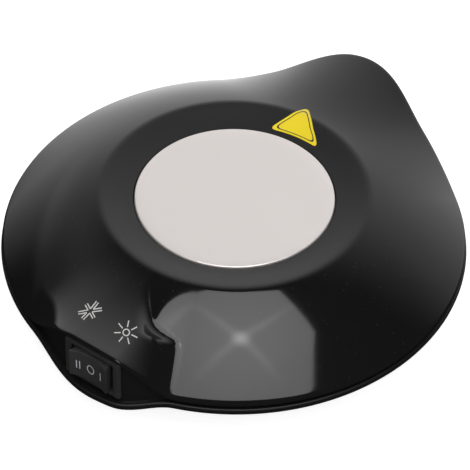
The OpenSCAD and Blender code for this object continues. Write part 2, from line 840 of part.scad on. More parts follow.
module fan_leads() {
    x0 = (lead_notch[0] + lead_notch[1]) / 2;
    run_z = fan_z + strut_h + fan_lead_r + 0.05;
    color([0.65, 0.1, 0.08])
        for (side = [-1, 1])
            lead([
                [x0 + side * 0.7, hub_r - 1.9, run_z], [x0 + side * 0.7, hub_r + 3, run_z],
                [x0 + side * 0.7, duct_r - 3, run_z], [x0 + side * 0.7, fan_w / 2 + 1.5, run_z + 0.1],
                [x0 + side * 0.7 - 3, fan_w / 2 + 3.6, fan_z + 6], [fan_plug_x + side, fan_w / 2 + 4, board_z + 2],
                [fan_plug_x + side, fan_w / 2 + 8, connector_top + 2.6],
                [fan_plug_x + side, fan_plug_y, connector_top + 1.6],
                [fan_plug_x + side, fan_plug_y, connector_top + lead_end]
            ], fan_lead_r);
}

module fan_screws() {
    color([0.6, 0.6, 0.62])
        four(fan_pitch / 2, fan_pitch / 2)
            translate([0, 0, floor_z + fan_head_h])
                screw(fan_head_r, fan_head_h, fan_screw_r, fan_screw_l);
}

// ---- Rocker switch, seen from outside: x across, y inwards from its pivot, z up ----

bezel_front = wall_y + bezel_t;
pivot_in = 3.2;
pivot_y = bezel_front - pivot_in;
switch_z = rim_z + 6.75;
body_w = mouth_w + 2.6;
body_h = mouth_h + 1.6;
body_back = 10.5;
body_floor = 9;
body_step = 0.8;
rear_half = 7.8;
rear_wall = 1.05;
rear_y = 1.2;
low_y = 5.1;
low_drop = 0.6;
hub_half = 2.2;
hub_back = 3.6;
pole_z = 2.7;
plunger_r = 1.1;
plunger_bore = 1.2;
plunger_front = 1.2;
plunger_tip = 5.6;
spring_front = -1.8;
bridge_y = 6.9;
bridge_top = 6;
bridge_t = 0.5;
bridge_half = 6;
bridge_w = 2.6;
bridge_round = 0.9;
cradle_gap = 0.05;
cradle_y = 7.2;
cradle_half = 1.3;
contact_x = 5.2;
contact_top = 7.65;
tab_back = 17.5;
rocker_h = mouth_h - 0.8;
rocker_half = rocker_w / 2;
rocker_top = pivot_in + rocker_out;
dish_r = (pow(rocker_half, 2) + pow(rocker_dish, 2)) / (2 * rocker_dish);

module at_switch() {
    translate([switch_x, -pivot_y, switch_z])
        children();
}

module switch_body() {
    color([0.06, 0.06, 0.065])
        at_switch()
            difference() {
                union() {
                    box([-bezel_w / 2, bezel_w / 2], [-pivot_in, -pivot_in + bezel_t], [-bezel_h / 2, bezel_h / 2]);
                    box([-body_w / 2, body_w / 2], [-pivot_in + eps, rear_y], [-body_h / 2, body_h / 2]);
                    box([-rear_half, rear_half], [rear_y - eps, low_y], [-body_h / 2, body_h / 2]);
                    box([-rear_half, rear_half], [low_y - eps, body_back],
                        [low_drop - body_h / 2, body_h / 2 - low_drop]);
                }
                box([-mouth_w / 2, mouth_w / 2], [-pivot_in - 1, rear_y - body_step], [-mouth_h / 2, mouth_h / 2]);
                box([rear_wall - rear_half, rear_half - rear_wall], [-pivot_in - 1, low_y - body_step],
                    [-mouth_h / 2, mouth_h / 2]);
                box([rear_wall - rear_half, rear_half - rear_wall], [-pivot_in - 1, body_floor],
                    [low_drop - mouth_h / 2, mouth_h / 2 - low_drop]);
                cylinder(r = pivot_r + pivot_gap, h = body_h + 2, center = true);
                for (x = [-contact_x, 0, contact_x])
                    for (z = [-pole_z, pole_z])
                        translate([x, body_back, z])
                            cube([3.04, 6, 0.84], center = true);
            }
}

module rocker_outline() {
    difference() {
        polygon([
            [-rocker_half, -rocker_top], [rocker_half, -rocker_top], [rocker_half - 0.5, -pivot_in - 0.3],
            [rocker_half - 0.9, -0.6], [hub_half, 1], [hub_half, hub_back], [-hub_half, hub_back], [-hub_half, 1],
            [0.9 - rocker_half, -0.6], [0.5 - rocker_half, -pivot_in - 0.3]
        ]);
        translate([0, rocker_dish - rocker_top - dish_r])
            circle(r = dish_r, $fn = 128);
    }
}

module switch_rocker() {
    color([0.08, 0.08, 0.085])
        at_switch()
            difference() {
                union() {
                    translate([0, 0, -rocker_h / 2])
                        linear_extrude(height = rocker_h)
                            rocker_outline();
                    cylinder(r = pivot_r, h = body_h - 0.3, center = true);
                }
                for (z = [-pole_z, pole_z])
                    translate([0, hub_back + 1, z])
                        rotate([90, 0, 0])
                            cylinder(r = plunger_bore, h = hub_back + 1 - spring_front);
            }
}

module switch_plungers() {
    color([0.9, 0.9, 0.86])
        at_switch()
            for (z = [-pole_z, pole_z])
                translate([0, 0, z])
                    rotate([-90, 0, 0]) {
                        translate([0, 0, plunger_front])
                            cylinder(r = plunger_r, h = plunger_tip - plunger_r - plunger_front);
                        translate([0, 0, plunger_tip - plunger_r])
                            sphere(r = plunger_r);
                    }
}

spring_turns = 4;
spring_wire_r = 0.18;
spring_ring = 8;

module plunger_springs() {
    coil_r = plunger_bore - spring_wire_r - 0.08;
    y0 = spring_front + spring_wire_r + 0.03;
    y1 = plunger_front - spring_wire_r - 0.03;
    n = spring_turns * spring_ring;
    color([0.75, 0.75, 0.78])
        at_switch()
            for (z = [-pole_z, pole_z])
                tube([for (i = [0 : n])
                    let (a = 360 * i / spring_ring)
                    [coil_r * cos(a), y0 + (y1 - y0) * i / n, z + coil_r * sin(a)]], spring_wire_r, 6);
}

module contact_bridges() {
    color([0.8, 0.5, 0.25])
        at_switch()
            for (z = [-pole_z, pole_z]) {
                box([-bridge_half, bridge_half], [bridge_top, bridge_top + bridge_t],
                    [z - bridge_w / 2, z + bridge_w / 2]);
                translate([0, bridge_y, z - bridge_w / 2])
                    cylinder(r = bridge_round, h = bridge_w);
            }
}

module switch_terminals() {
    color([0.82, 0.72, 0.4])
        at_switch()
            for (z = [-pole_z, pole_z]) {
                for (x = [-contact_x, contact_x]) {
                    box([x - 1.5, x + 1.5], [contact_top + 0.4, tab_back], [z - 0.4, z + 0.4]);
                    translate([x, contact_top + 0.6, z])
                        rotate([90, 0, 0])
                            cylinder(r = 1, h = 0.6);
                }
                box([-1.5, 1.5], [body_floor - 0.6, tab_back], [z - 0.4, z + 0.4]);
                difference() {
                    box([-cradle_half, cradle_half], [cradle_y, body_floor], [z - 0.4, z + 0.4]);
                    translate([0, bridge_y, z - 1])
                        cylinder(r = bridge_round + cradle_gap, h = 2);
                }
            }
}

switch_lead_r = 0.7;
bundle_x = rim_r - 31.2;
bundle_gap = 1.9;
switch_plug = [16, board_y0 + 9.5];
plug_pin = 1.5;

module switch_leads() {
    tab_y = -pivot_y + tab_back;
    color([0.6, 0.1, 0.08])
        for (i = [0, 1])
            for (k = [0, 1])
                let (z = switch_z + (k == 0 ? -pole_z : pole_z), x = switch_x + i * contact_x)
                let (bx = bundle_x + i * bundle_gap, bz = floor_top + 6 + k * bundle_gap)
                let (px = switch_plug[0] + (k == 0 ? 1 : -1) * plug_pin, py = switch_plug[1] + (2 * i - 1) * plug_pin)
                lead([
                    [x, tab_y + lead_end, z], [x, tab_y + 2.5, z], [x + 4, tab_y + 8 - 3 * i, z - 3],
                    [x + 17, tab_y + 13 - 3 * i, bz + 5],
                    [bx - 4, tab_y + 23 - i, bz + 1],
                    [bx, -20, bz], [bx, 0, bz], [bx, 16, bz],
                    [bx - 5, 31 + i, bz + 3],
                    [switch_plug[0] + 11 + i * 2, switch_plug[1] - 4 + i * 2.5, connector_top + 0.8 + k * 2],
                    [px + 0.8, py, connector_top + 2.2 + k * 2],
                    [px, py, connector_top + lead_end]
                ], switch_lead_r);
}

// ---- Board and inlet ----

tongue = [jack_x - 6.5, jack_x + 6.5];
board_y = [board_y0, board_y0 + 22.5];
tongue_y = wall_y - base_t - 1;
board_half = 22;
fan_plug_x = -7;
tec_plug = [8, 4.5];
fan_plug = [5, 4];
switch_plug_w = 6;
fan_plug_y = board_y0 + 4.5;

module power_board() {
    color([0.08, 0.35, 0.16])
        difference() {
            translate([0, 0, board_z])
                linear_extrude(height = board_t)
                    polygon([
                        [-board_half, board_y[0]], [board_half, board_y[0]], [board_half, board_y[1]],
                        [tongue[1], board_y[1]], [tongue[1], tongue_y], [tongue[0], tongue_y],
                        [tongue[0], board_y[1]], [-board_half, board_y[1]]
                    ]);
            for (sx = [-1, 1])
                for (y = board_post_y)
                    translate([sx * board_post_x, y, board_z - 1])
                        cylinder(r = board_screw_r + 0.2, h = board_t + 2);
        }
}

module board_screws() {
    color([0.6, 0.6, 0.62])
        for (sx = [-1, 1])
            for (y = board_post_y)
                translate([sx * board_post_x, y, board_top])
                    rotate([180, 0, 0])
                        screw(2.1, 1.4, board_screw_r, board_screw_l);
}

jack_face = wall_y - base_t - 0.2;

module dc_jack() {
    color([0.05, 0.05, 0.05])
        difference() {
            union() {
                box([jack_x - jack_w / 2, jack_x + jack_w / 2], [jack_face - jack_l, jack_face],
                    [board_top, board_top + jack_h]);
                translate([jack_x, jack_face - eps, jack_z])
                    rotate([-90, 0, 0])
                        cylinder(r = collar_r, h = 1.4);
            }
            translate([jack_x, jack_face - 9.5, jack_z])
                rotate([-90, 0, 0])
                    cylinder(r = jack_hole_r, h = 14);
            translate([jack_x, jack_face - jack_l - 1, jack_z])
                rotate([-90, 0, 0])
                    cylinder(r = jack_pin_r + thread_gap, h = 8);
            box([jack_x - 1.4, jack_x + 1.4], [jack_face - jack_l + 3, jack_face - 2.5],
                [board_top - 1, board_top + 3.8]);
        }
}

module dc_jack_pin() {
    color([0.8, 0.8, 0.78])
        translate([jack_x, jack_face - jack_l - 0.6, jack_z])
            rotate([-90, 0, 0])
                cylinder(r = jack_pin_r, h = jack_l - 0.6);
}

module dc_jack_spring() {
    color([0.82, 0.72, 0.4])
        box([jack_x - 1.2, jack_x + 1.2], [jack_face - jack_l + 3.4, jack_face - 3],
            [board_top, board_top + 0.5]);
}

cap_r = 4;
cap_h = 9.5;

module capacitor() {
    color([0.15, 0.2, 0.45])
        translate([-11, board_y0 + 11.5, board_top])
            difference() {
                cylinder(r = cap_r, h = cap_h);
                translate([0, 0, cap_h - 0.3])
                    for (turn = [0, 90])
                        rotate([0, 0, turn])
                            translate([-2.5, -0.2, 0])
                                cube([5, 0.4, 1]);
            }
}

module fuse() {
    color([0.75, 0.6, 0.2])
        translate([8, board_y0 + 17.5, board_top])
            translate([-4, -1.5, 0])
                cube([8, 3, 7]);
}

module plug_block(x, y, w, d) {
    box([x - w / 2, x + w / 2], [y - d / 2, y + d / 2], [board_top, connector_top]);
}

module board_connectors() {
    color([0.92, 0.92, 0.88]) {
        plug_block((tec_lead_x[0] + tec_lead_x[1]) / 2 - 1, tec_plug_y, tec_plug[0], tec_plug[1]);
        plug_block(fan_plug_x, fan_plug_y, fan_plug[0], fan_plug[1]);
        plug_block(switch_plug[0], switch_plug[1], switch_plug_w, switch_plug_w);
    }
}

top_cover();
base_cover();
cup_plate();
plate_seal();
hazard_sticker();
insulation_frame();
thermal_pad_upper();
thermal_pad_lower();
tec_upper_ceramic();
tec_lower_ceramic();
tec_pellets();
tec_leads();
heat_sink();
sink_screws();
fan_frame();
fan_rotor();
fan_magnet();
fan_shaft();
fan_bearing();
fan_stator();
fan_board();
fan_leads();
fan_screws();
switch_body();
switch_rocker();
switch_plungers();
plunger_springs();
contact_bridges();
switch_terminals();
switch_leads();
power_board();
dc_jack();
dc_jack_pin();
dc_jack_spring();
capacitor();
fuse();
board_connectors();
board_screws();
case_screws();
rubber_feet();
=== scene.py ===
"""Looks of a desktop cup warmer and cooler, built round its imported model.

Lengths in the classes are in millimetres and become metres when a mesh is made. +Z is up, the
origin lies on the resting surface under the cup plate's centre, and -Y faces the rocker switch.
"""

from __future__ import annotations

import json
import logging
import math
from collections.abc import Callable, Iterable, Sequence
from dataclasses import dataclass
from enum import Enum

import bmesh
import bpy
from mathutils import Matrix, Vector

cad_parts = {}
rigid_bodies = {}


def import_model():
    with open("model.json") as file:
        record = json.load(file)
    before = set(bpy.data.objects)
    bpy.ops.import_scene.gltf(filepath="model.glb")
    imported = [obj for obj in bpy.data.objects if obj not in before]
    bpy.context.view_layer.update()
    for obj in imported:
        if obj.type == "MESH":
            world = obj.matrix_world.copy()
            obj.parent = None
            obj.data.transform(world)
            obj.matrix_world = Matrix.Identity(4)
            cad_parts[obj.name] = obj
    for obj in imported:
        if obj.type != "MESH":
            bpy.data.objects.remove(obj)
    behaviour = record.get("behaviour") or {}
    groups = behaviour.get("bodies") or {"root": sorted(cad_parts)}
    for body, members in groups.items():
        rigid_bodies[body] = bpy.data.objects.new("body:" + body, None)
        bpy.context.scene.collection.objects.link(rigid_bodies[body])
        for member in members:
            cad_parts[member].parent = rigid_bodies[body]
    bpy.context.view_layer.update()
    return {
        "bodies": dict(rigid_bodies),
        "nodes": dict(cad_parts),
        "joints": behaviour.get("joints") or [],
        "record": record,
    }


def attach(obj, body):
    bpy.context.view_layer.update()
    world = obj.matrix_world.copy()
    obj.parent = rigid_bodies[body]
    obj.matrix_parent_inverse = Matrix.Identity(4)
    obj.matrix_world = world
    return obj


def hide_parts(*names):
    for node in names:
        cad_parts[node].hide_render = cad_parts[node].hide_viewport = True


LOG = logging.getLogger("cup_warmer")
MM = 0.001
CREASE = 32.0
NODE_CREASE = 30.0
WHITE = (1.0, 1.0, 1.0, 1.0)
CASE_SCREW_XY = (52.5, 24.0)
Flat = tuple[float, float]
Point = tuple[float, float, float]
Loop = list[Point]
Faces = list[tuple[int, ...]]
Mesh = tuple[list[Point], Faces]
Socket = bpy.types.NodeSocket


class Body(Enum):
    """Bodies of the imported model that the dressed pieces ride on."""

    HOUSING = "housing"
    ROCKER = "rocker"


# ---- Mesh work ----


def fade(u: float) -> float:
    """Returns 1 up to u 0 and 0 from u 1, with half a cosine wave between them."""
    return (1 + math.cos(math.pi * min(max(u, 0.0), 1.0))) / 2


def hump(angle: float, shape: Sequence[float]) -> float:
    """Returns a level top with a soft run-out on each side.

    Args:
        angle: Where it is read, in degrees.
        shape: Start and end of the level top, width before it and width after it.

    Returns:
        The share of the full height, from 0 to 1.
    """
    start, end, before, after = shape
    if angle < start:
        return fade((start - angle) / before)
    return fade((angle - end) / after) if angle > end else 1.0


def finish_shading(mesh: bpy.types.Mesh, crease: float = CREASE) -> None:
    """Shades a mesh smooth, with edges over the crease angle sharp."""
    mesh.shade_smooth()
    mesh.set_sharp_from_angle(angle=math.radians(crease))


def make_object(name: str, points: Iterable[Point], faces: Iterable[Sequence[int]]) -> bpy.types.Object:
    """Makes a mesh object from points in millimetres, with its faces turned outward.

    Args:
        name: Name of the object.
        points: Its points.
        faces: Its faces, as indices of the points.

    Returns:
        The object, linked to the scene.
    """
    mesh = bpy.data.meshes.new(name)
    mesh.from_pydata([tuple(c * MM for c in p) for p in points], [], [tuple(f) for f in faces])
    work = bmesh.new()
    work.from_mesh(mesh)
    bmesh.ops.recalc_face_normals(work, faces=work.faces)
    work.to_mesh(mesh)
    work.free()
    finish_shading(mesh)
    made = bpy.data.objects.new(name, mesh)
    bpy.context.scene.collection.objects.link(made)
    return made


def apply_modifiers(made: bpy.types.Object, crease: float = CREASE) -> None:
    """Bakes an object's modifiers into its mesh and shades it again."""
    graph = bpy.context.evaluated_depsgraph_get()
    mesh = bpy.data.meshes.new_from_object(made.evaluated_get(graph))
    made.modifiers.clear()
    old, made.data = made.data, mesh
    bpy.data.meshes.remove(old)
    finish_shading(mesh, crease)


def join_into(made: bpy.types.Object, extra: bpy.types.Object, crease: float = CREASE) -> None:
    """Adds a second object's mesh to the first, removes the second and shades the result."""
    work = bmesh.new()
    work.from_mesh(made.data)
    work.from_mesh(extra.data)
    work.to_mesh(made.data)
    work.free()
    bpy.data.objects.remove(extra)
    finish_shading(made.data, crease)


def loft(loops: Sequence[Loop], closed_row: bool = True, closed_rows: bool = False,
         capped: bool = False) -> Mesh:
    """Joins loops of equal length with quads.

    Args:
        loops: The loops, in order.
        closed_row: Whether each loop closes on itself.
        closed_rows: Whether the last loop joins the first.
        capped: Whether the first and last loops are closed with one face each.

    Returns:
        The points and the faces.
    """
    rows, size = len(loops), len(loops[0])
    points = [p for loop in loops for p in loop]
    faces: Faces = []
    for i in range(rows if closed_rows else rows - 1):
        k = (i + 1) % rows
        for j in range(size if closed_row else size - 1):
            m = (j + 1) % size
            faces.append((i * size + j, k * size + j, k * size + m, i * size + m))
    if capped:
        faces.append(tuple(range(size)))
        faces.append(tuple((rows - 1) * size + j for j in reversed(range(size))))
    return points, faces


def turned_piece(profile: Sequence[Flat], centre: Flat = (0, 0), steps: int = 96,
                 closed: bool = False) -> Mesh:
    """Turns a profile of (radius, height) about an upright axis.

    Args:
        profile: Points of the profile.
        centre: Where the axis stands.
        steps: Steps round the axis.
        closed: Whether the profile closes on itself; if not, its ends are capped.

    Returns:
        The points and the faces.
    """
    turns = [2 * math.pi * i / steps for i in range(steps)]
    loops = [[(centre[0] + radius * math.cos(t), centre[1] + radius * math.sin(t), height) for t in turns]
             for radius, height in profile]
    return loft(loops, closed_rows=closed, capped=not closed)


def tube(radii: Flat, heights: Flat, centre: Flat, steps: int = 32) -> Mesh:
    """Returns an upright tube between two radii and two heights."""
    (inner, outer), (low, high) = radii, heights
    return turned_piece([(inner, low), (outer, low), (outer, high), (inner, high)], centre, steps, True)


def four_places(x: float, y: float) -> list[Flat]:
    """Returns a place on each of the four quarters of the plan."""
    return [(sx * x, sy * y) for sx in (-1, 1) for sy in (-1, 1)]


def merged(parts: Iterable[Mesh]) -> Mesh:
    """Puts several sets of points and faces into one."""
    points: list[Point] = []
    faces: Faces = []
    for some_points, some_faces in parts:
        start = len(points)
        points.extend(some_points)
        faces.extend(tuple(start + k for k in f) for f in some_faces)
    return points, faces


def bend(start: Point, corner: Point, end: Point, steps: int) -> Loop:
    """Returns a smooth bend from one point to another that is drawn towards a corner."""
    a, b, c = Vector(start), Vector(corner), Vector(end)
    shares = [i / steps for i in range(steps + 1)]
    return [tuple((1 - t) ** 2 * a + 2 * t * (1 - t) * b + t * t * c) for t in shares]


def rounded_corner(a: Point, corner: Point, b: Point, size: float, steps: int) -> Loop:
    """Returns a short arc that rounds a corner between two neighbours.

    Args:
        a: The neighbour before the corner.
        corner: The corner.
        b: The neighbour after it.
        size: How far the arc starts from the corner along each side.
        steps: Steps along the arc.

    Returns:
        The arc's points, in order.
    """
    va, vc, vb = Vector(a), Vector(corner), Vector(b)
    start = vc + (va - vc).normalized() * min(size, (va - vc).length / 2)
    end = vc + (vb - vc).normalized() * min(size, (vb - vc).length / 2)
    return bend(tuple(start), corner, tuple(end), steps)


def rounded_rectangle(width: float, height: float, radius: float, steps: int = 6) -> list[Flat]:
    """Returns the outline of a rectangle with round corners, centred on the origin."""
    outline = []
    for sx, sy, first in ((1, 1, 0), (-1, 1, 90), (-1, -1, 180), (1, -1, 270)):
        for i in range(steps + 1):
            turn = math.radians(first + 90 * i / steps)
            outline.append((sx * (width / 2 - radius) + radius * math.cos(turn),
                            sy * (height / 2 - radius) + radius * math.sin(turn)))
    return outline


def straight_path(start: Flat, end: Flat, steps: int = 6) -> list[Flat]:
    """Returns points at even steps from one point to another."""
    return [(start[0] + (end[0] - start[0]) * i / steps, start[1] + (end[1] - start[1]) * i / steps)
            for i in range(steps + 1)]


def oval_path(centre: Flat, radii: Flat, steps: int) -> list[Flat]:
    """Returns points at even steps round an upright oval."""
    turns = [2 * math.pi * i / steps for i in range(steps)]
    return [(centre[0] + radii[0] * math.cos(t), centre[1] + radii[1] * math.sin(t)) for t in turns]


def ink_strip(path: Sequence[Flat], width: float, lifts: Flat, closed: bool,
              lay: Callable[[float, float, float], Point]) -> Mesh:
    """Returns a printed stroke as a thin closed strip.

    Args:
        path: Points of the stroke in its own plane.
        width: Width of the stroke.
        lifts: Heights of its underside and its top over the printed surface.
        closed: Whether its end meets its start.
        lay: Gives the point in space for a place in the plane and a lift.

    Returns:
        The points and the faces.
    """
    loops = []
    count = len(path)
    for i, (u, v) in enumerate(path):
        ahead = path[(i + 1) % count] if closed or i < count - 1 else path[i]
        behind = path[i - 1] if closed or i > 0 else path[i]
        way = (Vector(ahead) - Vector(behind)).normalized() * width / 2
        low, high = lifts
        loops.append([lay(u - sign * way.y, v + sign * way.x, lift)
                      for sign, lift in ((1, low), (1, high), (-1, high), (-1, low))])
    return loft(loops, closed_rows=closed, capped=not closed)


# ---- The body's shape ----


@dataclass(frozen=True)
class Lobe:
    """One raised lobe, with angles in degrees from its middle.

    Its plan and its bell are humps: how far it stands out, and how high its edge rises. The
    spread is the power by which the bell widens inward on each side, and the saddle the power by
    which the rise fades inward.
    """

    plan: tuple[float, float, float, float]
    bell: tuple[float, float, float, float]
    rise: float
    spread: Flat
    saddle: float


@dataclass(frozen=True)
class BodyShape:
    """Formulas of the cover and the base, with plan angles in degrees from -Y towards +X."""

    rim_r: float = 74.7
    base_r: float = 75.1
    lobe_out: float = 6.6
    crest_r: float = 43.0
    crest_z: float = 38.0
    crest_rise: float = 18.4
    crest_soft: float = 1.3
    hole_r: float = 32.35
    ring_low: float = 35.5
    ring_curve: tuple[float, float, float] = (0.55, 0.9, -0.45)
    flank_curve: float = 0.4
    wall_in: float = 1.8
    wall_y: float = 77.9
    front_cut: float = 79.2
    cut_soft: float = 0.5
    cut_reach: float = 60.0
    narrow_from: float = 0.82
    narrow_power: float = -5.0
    bell_full: float = 45.0
    bell_none: float = 90.0
    front: Lobe = Lobe((5.5, 9.4, 26.3, 13.4), (-1, 10.2, 22.6, 12.5), 16.6, (4.0, 4.0), 2.0)
    rear: Lobe = Lobe((5.5, 6.8, 25.7, 20.8), (1.3, 1.3, 42.0, 40.0), 16.5, (0.63, -0.33), 1.64)

    def lobe_at(self, angle: float) -> tuple[Lobe, float, bool]:
        """Returns the lobe nearest to a plan angle, the angle from it, and whether it is the front one."""
        turned = (angle + 180) % 360 - 180
        if abs(turned) < 90:
            return self.front, turned, True
        return self.rear, (angle % 360) - 180, False

    def reach(self, angle: float) -> float:
        """Returns how far the body stands out past its round rim at a plan angle."""
        lobe, local, _ = self.lobe_at(angle)
        return self.lobe_out * hump(local, lobe.plan)

    def flat_limit(self, angle: float, y: float) -> float:
        """Returns the radius at which a flat end wall at y cuts a plan angle."""
        local = self.lobe_at(angle)[1]
        return y / math.cos(math.radians(local)) if abs(local) < self.cut_reach else math.inf

    def cover_edge(self, angle: float) -> float:
        """Returns the radius of the cover's rim, cut flat over the switch with soft corners."""
        edge = self.rim_r + self.reach(angle)
        if not self.lobe_at(angle)[2]:
            return edge
        cut = self.flat_limit(angle, self.front_cut)
        return min(edge, cut) - max(0.0, self.cut_soft - abs(edge - cut)) ** 2 / (4 * self.cut_soft)

    def base_edge(self, angle: float) -> float:
        """Returns the radius of the base's outer edge."""
        return self.base_r + self.reach(angle)

    def wall(self, angle: float, inset: float) -> float:
        """Returns the radius of the base's upright wall, less an inset."""
        round_wall = self.rim_r + self.reach(angle) - self.wall_in - inset
        return min(round_wall, self.flat_limit(angle, self.wall_y - inset))

    def bell_turn(self, angle: float, share: float) -> float:
        """Returns the angle read on a lobe's bell at a share of the edge's radius.

        Args:
            angle: The plan angle.
            share: The radius as a share of the edge's.

        Returns:
            The angle; the front ridge keeps its right side over the switch and narrows behind it.
        """
        lobe, local, front = self.lobe_at(angle)
        if front and local > 0:
            return local * min(1.0, share / self.narrow_from) ** self.narrow_power
        return local * share ** lobe.spread[0 if local < 0 else 1]

    def flank(self, angle: float, radius: float) -> float:
        """Returns the height of the cover's outer face outside the crest."""
        edge = self.cover_edge(angle)
        t = max(0.0, (radius - self.crest_r) / (edge - self.crest_r))
        fall = (1 - self.flank_curve) * t + self.flank_curve * t * t
        lobe, local, _ = self.lobe_at(angle)
        bell = hump(self.bell_turn(angle, radius / edge), lobe.bell)
        bell *= fade((abs(local) - self.bell_full) / (self.bell_none - self.bell_full))
        return self.crest_z - self.crest_rise * fall + lobe.rise * bell * t ** lobe.saddle

    def ring(self, radius: float) -> float:
        """Returns the height of the dished ring inside the crest."""
        t = max(0.0, (radius - self.hole_r) / (self.crest_r - self.hole_r))
        first, second, third = self.ring_curve
        return self.ring_low + (self.crest_z - self.ring_low) * (first * t + second * t * t + third * t ** 3)

    def skin(self, angle: float, radius: float) -> float:
        """Returns the height of the cover's outer face, with the crest rounded."""
        low, high = self.crest_r - self.crest_soft, self.crest_r + self.crest_soft
        if low < radius < high:
            t = (radius - low) / (high - low)
            ends = (1 - t) ** 2 * self.ring(low) + t * t * self.flank(angle, high)
            return ends + 2 * t * (1 - t) * self.crest_z
        return self.ring(radius) if radius <= low else self.flank(angle, radius)

    def at(self, angle: float, radius: float, height: float) -> Point:
        """Returns the point at a plan angle, radius and height."""
        turn = math.radians(angle)
        return (radius * math.sin(turn), -radius * math.cos(turn), height)

    def angle_of(self, x: float, y: float) -> float:
        """Returns the plan angle of a place."""
        return math.degrees(math.atan2(x, -y))

    def over(self, x: float, y: float, lift: float) -> Point:
        """Returns the point over (x, y) at a lift from the cover's outer face."""
        return (x, y, self.skin(self.angle_of(x, y), math.hypot(x, y)) + lift)


SHAPE = BodyShape()


# ---- Materials ----


class Nodes:
    """Short way to place and join nodes in one material or node group."""

    def __init__(self, tree: bpy.types.NodeTree) -> None:
        """Starts on an emptied node tree."""
        self.tree = tree
        tree.nodes.clear()

    def add(self, kind: str, values: dict[str | int, object] | None = None,
            **settings: object) -> bpy.types.Node:
        """Places one node.

        Args:
            kind: The node's type name without its ShaderNode prefix, or a full name.
            values: Values or links for its inputs, by name or index.
            **settings: Attributes of the node.

        Returns:
            The node.
        """
        node = self.tree.nodes.new(kind if kind.startswith("Node") else "ShaderNode" + kind)
        for name, value in settings.items():
            setattr(node, name, value)
        for name, value in (values or {}).items():
            socket = node.inputs[name]
            if isinstance(value, Socket):
                self.tree.links.new(value, socket)
            else:
                socket.default_value = value
        return node

    def math(self, operation: str, a: object, b: object = 0.0) -> Socket:
        """Places a math node and returns its output."""
        return self.add("Math", {0: a, 1: b}, operation=operation).outputs[0]

    def distance(self, a: Socket, b: Socket) -> Socket:
        """Returns the length of an offset whose two parts are at right angles."""
        square = self.math("ADD", self.math("MULTIPLY", a, a), self.math("MULTIPLY", b, b))
        return self.math("SQRT", square)

    def ramp(self, value: Socket, low: float, high: float, to_low: float = 0.0,
             to_high: float = 1.0) -> Socket:
        """Maps a value smoothly from one range to another and returns the output."""
        return self.add("MapRange", {"Value": value, "From Min": low, "From Max": high, "To Min": to_low,
                                     "To Max": to_high}, interpolation_type="SMOOTHSTEP").outputs[0]

    def mix_colours(self, share: Socket, first: object, second: object) -> Socket:
        """Mixes two colours and returns the output."""
        return self.add("Mix", {0: share, 6: first, 7: second}, data_type="RGBA").outputs[2]

    def mix_shaders(self, share: Socket, first: Socket, second: Socket) -> Socket:
        """Mixes two shaders and returns the output."""
        return self.add("MixShader", {0: share, 1: first, 2: second}).outputs[0]

    def white(self, kind: str, strength: object) -> Socket:
        """Places a white Emission or Background node and returns its output."""
        return self.add(kind, {"Color": WHITE, "Strength": strength}).outputs[0]

    def place(self) -> Socket:
        """Returns the place on the object, in its own axes."""
        return self.add("TexCoord").outputs["Object"]


def new_material(name: str) -> tuple[bpy.types.Material, Nodes]:
    """Starts a material and returns it with a Nodes helper on it."""
    material = bpy.data.materials.new(name)
    material.use_nodes = True
    return material, Nodes(material.node_tree)


def new_group(name: str, inputs: dict[str, float],
              outputs: Sequence[str]) -> tuple[bpy.types.NodeTree, Nodes]:
    """Starts a shader node group with number inputs and outputs.

    Args:
        name: Name of the group.
        inputs: Names and first values of its inputs.
        outputs: Names of its outputs.

    Returns:
        The group and a Nodes helper on it.
    """
    tree = bpy.data.node_groups.new(name, "ShaderNodeTree")
    for label, value in inputs.items():
        tree.interface.new_socket(label, in_out="INPUT", socket_type="NodeSocketFloat").default_value = value
    for label in outputs:
        tree.interface.new_socket(label, in_out="OUTPUT", socket_type="NodeSocketFloat")
    return tree, Nodes(tree)


